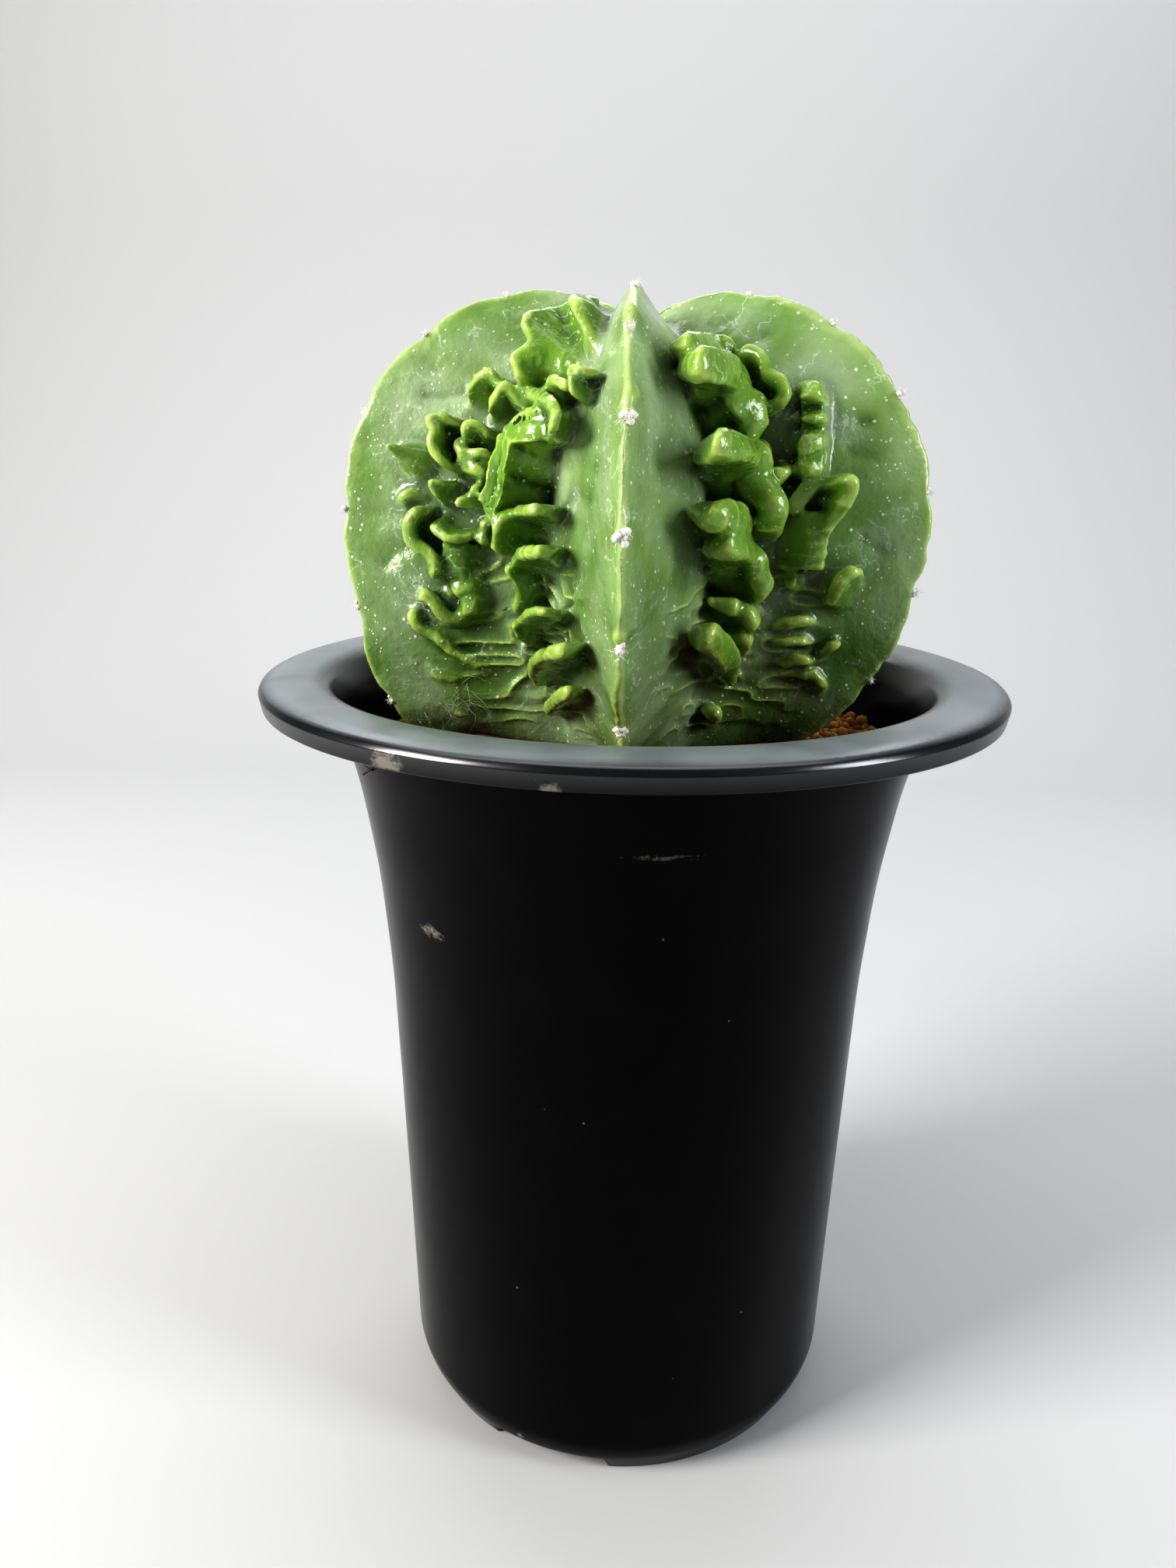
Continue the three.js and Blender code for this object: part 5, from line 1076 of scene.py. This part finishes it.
def skin_material():
    """Living cactus skin: smooth waxy green flesh, glossy where it is young and folded, dulled by a
    pale bloom on the broad sides that is paler higher up as a painted sheen, with painted shade in
    its hollows and creases, yellow-green where it is thin as painted highlight and glow, with pale
    flecks and dried water marks. Light goes a few millimetres in."""
    material, tree = new_material("waxy_cactus_skin")
    place = node(tree, "TexCoord", out="Object")
    axes = node(tree, "SeparateXYZ", {0: place}).node.outputs
    height = axes["Z"]
    relief, fine, grown = [node(tree, "Attribute", out="Fac", attribute_name=name)
                           for name in ("relief", "fine", "grown")]
    # Cloudy patterns, by the size of their patches and how finely these are broken up
    broad, patch, pores, contour, swells = [
        node(tree, "TexNoise", {"Vector": place, "Scale": 1 / (size * MM), "Detail": detail}, "Fac")
        for size, detail in ((24, 2.0), (8, 5.0), (0.9, 2.0), (5.5, 5.0), (3.2, 4.0))]
    # Distance from the nearest rib's plane
    backwards = node(tree, "Math", {0: axes["Y"], 1: -1.0}, operation="MULTIPLY")
    azimuth = node(tree, "Math", {0: axes["X"], 1: backwards}, operation="ARCTAN2")
    azimuth = node(tree, "Math", {0: azimuth, 1: FRONT}, operation="SUBTRACT")
    azimuth = node(tree, "Math", {0: azimuth, 1: HALF, 2: -HALF}, operation="WRAP")
    level = node(tree, "VectorMath", {0: place, 1: (1, 1, 0)}, operation="MULTIPLY")
    flat = node(tree, "VectorMath", {0: level}, "Value", operation="LENGTH")
    sine = node(tree, "Math", {0: azimuth}, operation="SINE")
    away = node(tree, "Math", {0: sine, 1: flat}, operation="MULTIPLY")
    away = node(tree, "Math", {0: away}, operation="ABSOLUTE")
    # Broad greens: patches, a darker foot, brighter growths
    light_patch = node(tree, "MapRange", {0: broad, 1: 0.35, 2: 0.65})
    dark_patch = node(tree, "MapRange", {0: patch, 1: 0.35, 2: 0.7, 3: 0.0, 4: 0.45})
    low = node(tree, "MapRange", {0: height, 1: 160 * MM, 2: 205 * MM, 3: 0.65, 4: 0.0})
    young = node(tree, "MapRange", {0: grown, 1: 1.5, 2: 9.0, 3: 0.0, 4: 0.6})
    # Pale bloom on the broad sides, paler higher up: the skin's waxy bloom together with a painted
    # sheen of sky light on the upper sides
    bare = node(tree, "MapRange", {0: grown, 1: 0.6, 2: 2.4, 3: 1.0, 4: 0.0})
    high = node(tree, "MapRange", {0: height, 1: 178 * MM, 2: 236 * MM, 3: 0.40, 4: 0.58})
    cloudy = node(tree, "Math", {0: patch, 1: 0.6, 2: broad}, operation="MULTIPLY_ADD")
    cloudy = node(tree, "MapRange", {0: cloudy, 1: 0.66, 2: 0.90, 3: 0.2, 4: 1.0})
    bloom_and_sheen = node(tree, "Math", {0: bare, 1: high}, operation="MULTIPLY")
    bloom_and_sheen = node(tree, "Math", {0: bloom_and_sheen, 1: cloudy}, operation="MULTIPLY")
    # Painted shade: deep green where the skin sinks in, widely and in fine creases on the growths,
    # standing for the shade of the hollows over their darker flesh
    painted_hollow_shade = node(tree, "MapRange", {0: relief, 1: -0.05, 2: -1.0, 3: 0.0, 4: 0.95})
    painted_crease_shade = node(tree, "MapRange", {0: fine, 1: -0.05, 2: -0.22, 3: 0.0, 4: 0.75})
    kept = node(tree, "MapRange", {0: grown, 1: 0.5, 2: 1.6, 3: 0.2, 4: 1.0})
    painted_crease_shade = node(tree, "Math", {0: painted_crease_shade, 1: kept}, operation="MULTIPLY")
    # Painted light: thin rims of growths and bands along the crests are painted pale yellow-green,
    # a painted highlight and a painted glow of the light they let through
    rim = node(tree, "MapRange", {0: fine, 1: 0.07, 2: 0.26, 3: 0.0, 4: 0.85})
    off_crown = node(tree, "MapRange", {0: flat, 1: 12 * MM, 2: 20 * MM})
    uneven = node(tree, "MapRange", {0: patch, 1: 0.36, 2: 0.6, 3: 0.15, 4: 1.0})
    uneven = node(tree, "Math", {0: uneven, 1: off_crown}, operation="MULTIPLY")
    # Painted highlight along each crest: a band, and a narrow bright edge line
    crest = node(tree, "MapRange", {0: away, 1: 3.2 * MM, 2: 1.0 * MM, 3: 0.0, 4: 0.55})
    crest = node(tree, "Math", {0: crest, 1: uneven}, operation="MULTIPLY")
    edge = node(tree, "MapRange", {0: away, 1: 1.0 * MM, 2: 0.4 * MM, 3: 0.0, 4: 0.7})
    edge = node(tree, "Math", {0: edge, 1: uneven}, operation="MULTIPLY")
    # Pale flecks of two sizes, each in some of the cells only
    fleck = 0.0
    for size, reach, channel, least, most, strength in (
            (2.1, 0.20, "Red", 0.55, 0.62, 0.8), (1.2, 0.24, "Green", 0.66, 0.74, 0.55)):
        cell = node(tree, "TexVoronoi", {"Vector": place, "Scale": 1 / (size * MM)}).node.outputs
        drawn = node(tree, "SeparateColor", {0: cell["Color"]}, channel)
        spot = node(tree, "MapRange", {0: cell["Distance"], 1: reach, 2: reach / 2})
        kept = node(tree, "MapRange", {0: drawn, 1: least, 2: most, 3: 0.0, 4: strength})
        fleck = node(tree, "Math", {0: spot, 1: kept, 2: fleck}, operation="MULTIPLY_ADD")
    # Dried water marks along a contour of a cloudy pattern, and cork at the base
    contour = node(tree, "Math", {0: contour, 1: 0.5}, operation="SUBTRACT")
    contour = node(tree, "Math", {0: contour}, operation="ABSOLUTE")
    mark = node(tree, "MapRange", {0: contour, 1: 0.016, 2: 0.004, 3: 0.0, 4: 0.55})
    kept = node(tree, "MapRange", {0: patch, 1: 0.50, 2: 0.62})
    mark = node(tree, "Math", {0: mark, 1: kept}, operation="MULTIPLY")
    cork = node(tree, "MapRange", {0: height, 1: 160.5 * MM, 2: 158.5 * MM})
    # The coats of colour, from the lowest up: how much of each shows, and its tint. The bloom coat
    # is partly painted sheen, the coats for sunk skin and creases are painted shade, and the rim,
    # crest and edge coats are painted highlight.
    colour = "#698b3f"
    for share, tint in ((light_patch, "#89a556"), (dark_patch, "#557f2f"), (low, "#3c601c"),
                        (young, "#76a233"), (bloom_and_sheen, "#b1c0a6"), (painted_hollow_shade, "#0d2a06"),
                        (painted_crease_shade, "#163a0a"), (rim, "#bcd26f"), (crest, "#7fa644"),
                        (edge, "#b7c987"), (fleck, "#dde6cb"), (mark, "#cbd9c2"),
                        (cork, "#6d5236")):
        colour = node(tree, "Mix", {0: share, 6: colour, 7: tint}, 2, data_type="RGBA")
    rough = node(tree, "MapRange", {0: bloom_and_sheen, 1: 0.0, 2: 0.6, 3: 0.12, 4: 0.32})
    rough = node(tree, "Math", {0: patch, 1: 0.14, 2: rough}, operation="MULTIPLY_ADD")
    raised = node(tree, "Math", {0: pores, 1: 0.35, 2: fleck}, operation="MULTIPLY_ADD")
    raised = node(tree, "Math", {0: swells, 1: 2.2, 2: raised}, operation="MULTIPLY_ADD")
    bump = node(tree, "Bump", {"Height": raised, "Strength": 0.4, "Distance": 0.5 * MM})
    end_material(tree, {"Base Color": colour, "Roughness": rough, "Normal": bump, "IOR": 1.5,
                        "Coat Weight": 0.3, "Coat Roughness": 0.1, "Subsurface Weight": 0.08,
                        "Subsurface Radius": (0.35, 1.0, 0.12), "Subsurface Scale": 2.6 * MM})
    return material


def pot_material():
    """Moulded black polypropylene: deep black and glossy on the wall, satin on the handled rim,
    whose top is painted pale grey in patches as a painted sheen of reflected sky light with dust,
    with a few pale scuffs and dried splashes where the wear attribute is high."""
    material, tree = new_material("black_polypropylene")
    place = node(tree, "TexCoord", out="Object")
    height = node(tree, "SeparateXYZ", {0: place}, "Z")
    wear = node(tree, "Attribute", out="Fac", attribute_name="wear")
    # Fine rings of the mould, and scratches that run round the wall
    rings = node(tree, "CombineXYZ", {2: height})
    streaks = node(tree, "Mapping", {"Vector": place, "Scale": (1.0, 1.0, 5.0)})
    dust_and_sheen, grit, scratch, mould = [
        node(tree, "TexNoise", {"Vector": way, "Scale": 1 / (size * MM), "Detail": detail}, "Fac")
        for way, size, detail in ((place, 14, 5.0), (place, 0.8, 4.0), (streaks, 3, 6.0),
                                  (rings, 5, 2.0))]
    rim = node(tree, "MapRange", {0: height, 1: 166 * MM, 2: 170.5 * MM})
    # Painted sheen and dust: the top of the rim is painted pale grey in patches for the sky light
    # it reflects, and a thin film of dust lies everywhere
    rim_top_sheen_and_dust = node(tree, "MapRange", {0: height, 1: 171.6 * MM, 2: 172.7 * MM, 3: 0.0, 4: 0.8})
    patchy = node(tree, "MapRange", {0: dust_and_sheen, 1: 0.35, 2: 0.6, 3: 0.7, 4: 1.0})
    rim_top_sheen_and_dust = node(tree, "Math", {0: rim_top_sheen_and_dust, 1: patchy}, operation="MULTIPLY")
    film = node(tree, "MapRange", {0: dust_and_sheen, 1: 0.5, 2: 0.8, 3: 0.0, 4: 0.05})
    # Scuffs and dried splashes
    mark = node(tree, "Math", {0: grit, 1: scratch}, operation="ADD")
    mark = node(tree, "Math", {0: mark, 1: wear}, operation="MULTIPLY")
    mark = node(tree, "MapRange", {0: mark, 1: 0.50, 2: 0.82, 3: 0.0, 4: 0.7})
    cell = node(tree, "TexVoronoi", {"Vector": place, "Scale": 1 / (7 * MM)}).node.outputs
    drawn = node(tree, "SeparateColor", {0: cell["Color"]})
    spot = node(tree, "MapRange", {0: cell["Distance"], 1: 0.05, 2: 0.025})
    kept = node(tree, "MapRange", {0: drawn, 1: 0.74, 2: 0.78, 3: 0.0, 4: 0.4})
    spot = node(tree, "Math", {0: spot, 1: kept}, operation="MULTIPLY")
    # The coats of colour, from the lowest up: how much of each shows, and its tint
    colour = "#030304"
    for share, tint in ((rim, "#121416"), (rim_top_sheen_and_dust, "#8f969b"), (film, "#2c3032"),
                        (mark, "#8f8a80"), (spot, "#8b8d8c")):
        colour = node(tree, "Mix", {0: share, 6: colour, 7: tint}, 2, data_type="RGBA")
    rough = node(tree, "MapRange", {0: rim_top_sheen_and_dust, 3: 0.15, 4: 0.30})
    rough = node(tree, "Math", {0: dust_and_sheen, 1: 0.16, 2: rough}, operation="MULTIPLY_ADD")
    rough = node(tree, "Math", {0: mark, 1: 0.4, 2: rough}, operation="MULTIPLY_ADD")
    shine = node(tree, "MapRange", {0: rim, 3: 0.11, 4: 0.9})
    raised = node(tree, "Math", {0: mould, 1: 0.5, 2: mark}, operation="MULTIPLY_ADD")
    bump = node(tree, "Bump", {"Height": raised, "Strength": 0.12, "Distance": 0.5 * MM})
    end_material(tree, {"Base Color": colour, "Roughness": rough, "Normal": bump, "IOR": 1.49,
                        "Specular IOR Level": shine})
    return material


def clay_material():
    """Baked clay granules: dry, porous, orange-brown, each ball a little different."""
    material, tree = new_material("baked_clay_granules")
    place = node(tree, "TexCoord", out="Object")
    shade = node(tree, "Attribute", out="Fac", attribute_name="shade")
    pits = node(tree, "TexNoise", {"Vector": place, "Scale": 1 / (0.6 * MM), "Detail": 4.0}, "Fac")
    dark_ball = node(tree, "MapRange", {0: shade, 1: 0.0, 2: 0.25, 3: 0.7, 4: 0.0})
    # Painted shade: darker brown where the bump's pits sink in
    pitted = node(tree, "MapRange", {0: pits, 1: 0.44, 2: 0.3, 3: 0.0, 4: 0.6})
    colour = "#9c6326"
    for share, tint in ((shade, "#d49a4a"), (dark_ball, "#5b3a1e"), (pitted, "#4d2c14")):
        colour = node(tree, "Mix", {0: share, 6: colour, 7: tint}, 2, data_type="RGBA")
    bump = node(tree, "Bump", {"Height": pits, "Strength": 0.6, "Distance": 0.4 * MM})
    end_material(tree, {"Base Color": colour, "Roughness": 0.93, "Normal": bump})
    return material


def soil_material():
    """The finer clay between the granules, darker because light hardly reaches it."""
    material, tree = new_material("clay_fines")
    place = node(tree, "TexCoord", out="Object")
    grit = node(tree, "TexNoise", {"Vector": place, "Scale": 1 / (1.6 * MM), "Detail": 5.0}, "Fac")
    share = node(tree, "MapRange", {0: grit, 1: 0.3, 2: 0.7})
    colour = node(tree, "Mix", {0: share, 6: "#3a2210", 7: "#6f4824"}, 2, data_type="RGBA")
    bump = node(tree, "Bump", {"Height": grit, "Strength": 0.8, "Distance": 0.8 * MM})
    end_material(tree, {"Base Color": colour, "Roughness": 0.95, "Normal": bump})
    return material


def fibre_material(name, light, dark, size, rough):
    """Dry plant fibre in two shades, in patches of a size, as wool, hair or withered leaf."""
    material, tree = new_material(name)
    place = node(tree, "TexCoord", out="Object")
    shade = node(tree, "TexNoise", {"Vector": place, "Scale": 1 / (size * MM)}, "Fac")
    share = node(tree, "MapRange", {0: shade, 1: 0.35, 2: 0.65})
    colour = node(tree, "Mix", {0: share, 6: light, 7: dark}, 2, data_type="RGBA")
    end_material(tree, {"Base Color": colour, "Roughness": rough, "Sheen Weight": 0.3})
    return material


def finish(obj, material):
    """Gives a piece its material and its body."""
    obj.data.materials.clear()
    obj.data.materials.append(material)
    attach(obj, "root")


def stage_surface():
    """A pale floor that curves up into a pale backdrop, as one swept sheet."""
    turn = np.linspace(0, np.pi / 2, 16)
    depth = np.concatenate([np.linspace(-STAGE_REACH, CURVE_FROM, 12),
                            CURVE_FROM + CURVE_RADIUS * np.sin(turn),
                            np.full(6, CURVE_FROM + CURVE_RADIUS)])
    height = np.concatenate([np.zeros(12), CURVE_RADIUS - CURVE_RADIUS * np.cos(turn),
                             np.linspace(500, STAGE_HEIGHT, 6)])
    across = np.linspace(-STAGE_REACH, STAGE_REACH, 5)
    grid = np.stack([across[:, None] * np.ones_like(depth), depth * np.ones((5, 1)),
                     height * np.ones((5, 1))], -1)
    rows = len(depth)
    faces = [[i * rows + j, (i + 1) * rows + j, (i + 1) * rows + j + 1, i * rows + j + 1]
             for i in range(4) for j in range(rows - 1)]
    obj = mesh_object("pale_sweep", grid.reshape(-1, 3), faces)
    material, tree = new_material("matt_pale_plaster")
    end_material(tree, {"Base Color": "#c3c3c3", "Roughness": 0.85})
    obj.data.materials.append(material)


def area_light(name, place, aim, size, power, colour):
    """A soft rectangular lamp at a place, in metres, that faces a point."""
    lamp = bpy.data.lights.new(name, "AREA")
    lamp.shape = "RECTANGLE"
    lamp.size, lamp.size_y = size
    lamp.energy = power
    lamp.color = linear(colour)[:3]
    obj = bpy.data.objects.new(name, lamp)
    way = unit(np.array(aim) - np.array(place))
    side = unit(np.cross(way, [0, 0, 1.0]))
    up = np.cross(side, way)
    turn = np.array([side, up, -way]).T
    obj.matrix_world = Matrix.Translation(place) @ Matrix(turn.tolist()).to_4x4()
    bpy.context.scene.collection.objects.link(obj)


def light_scene():
    """A window-like lamp from the upper left, a soft box behind and above that lights the rim, a
    lamp for the backdrop, a weak fill at the right, and a dim sky. Places and sizes in metres."""
    area_light("window", (-0.84, -0.44, 0.60), (0, 0, 0.19), (0.4, 0.5), 12.8, "#fffdf9")
    area_light("back_box", (-0.05, 0.72, 0.92), (0, 0, 0.17), (1.2, 0.4), 3.4, "#f8faff")
    area_light("backdrop", (0, 0.0, 1.5), (0, 0.9, 0.15), (2.0, 0.5), 5, "#ffffff")
    area_light("fill", (0.9, -0.35, 0.5), (0, 0, 0.17), (0.3, 0.6), 5.8, "#f6f9ff")
    world = bpy.data.worlds.new("pale_sky")
    world.use_nodes = True
    background = world.node_tree.nodes["Background"]
    background.inputs["Color"].default_value = linear("#eef0f2")
    background.inputs["Strength"].default_value = 0.15
    bpy.context.scene.world = world
    view = bpy.context.scene.view_settings
    view.view_transform = "Standard"
    view.look = "High Contrast"


def make_camera():
    """The camera at the photograph's place, from its pitch, roll and yaw."""
    camera = bpy.data.cameras.new("camera")
    camera.sensor_width = SENSOR
    camera.sensor_fit = "AUTO"
    camera.lens = FOCAL_PIXELS * SENSOR / FRAME_HEIGHT
    camera.clip_start = 0.01
    forward = np.array([np.sin(CAMERA_YAW) * np.cos(CAMERA_PITCH),
                        np.cos(CAMERA_YAW) * np.cos(CAMERA_PITCH), -np.sin(CAMERA_PITCH)])
    right = np.array([np.cos(CAMERA_YAW), -np.sin(CAMERA_YAW), 0.0])
    up = np.cross(right, forward)
    rolled_right = np.cos(CAMERA_ROLL) * right + np.sin(CAMERA_ROLL) * up
    rolled_up = -np.sin(CAMERA_ROLL) * right + np.cos(CAMERA_ROLL) * up
    turn = np.array([rolled_right, rolled_up, -forward]).T
    obj = bpy.data.objects.new("camera", camera)
    obj.matrix_world = Matrix.Translation([v * MM for v in CAMERA_PLACE]) @ Matrix(
        turn.tolist()).to_4x4()
    bpy.context.scene.collection.objects.link(obj)
    bpy.context.scene.camera = obj


make_camera()
light_scene()
stage_surface()

skin = make_cactus()
finish(skin, skin_material())
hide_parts("cactus")

pot = make_pot()
pot_wear(pot)
finish(pot, pot_material())
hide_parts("pot")

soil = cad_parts["soil"].data
soil.materials.clear()
soil.materials.append(soil_material())

grains = make_soil_grains()
finish(grains, clay_material())

wool = make_wool()
finish(wool, fibre_material("areole_wool_fibre", "#f7f5ee", "#ddd8ca", 0.8, 0.9))

hairs = make_hairs()
finish(hairs, fibre_material("fine_pale_hair", "#b9c4a4", "#93a07c", 2.0, 0.6))

scrap = make_scrap()
finish(scrap, fibre_material("withered_red_leaf", "#5d1a1c", "#34100f", 1.5, 0.8))
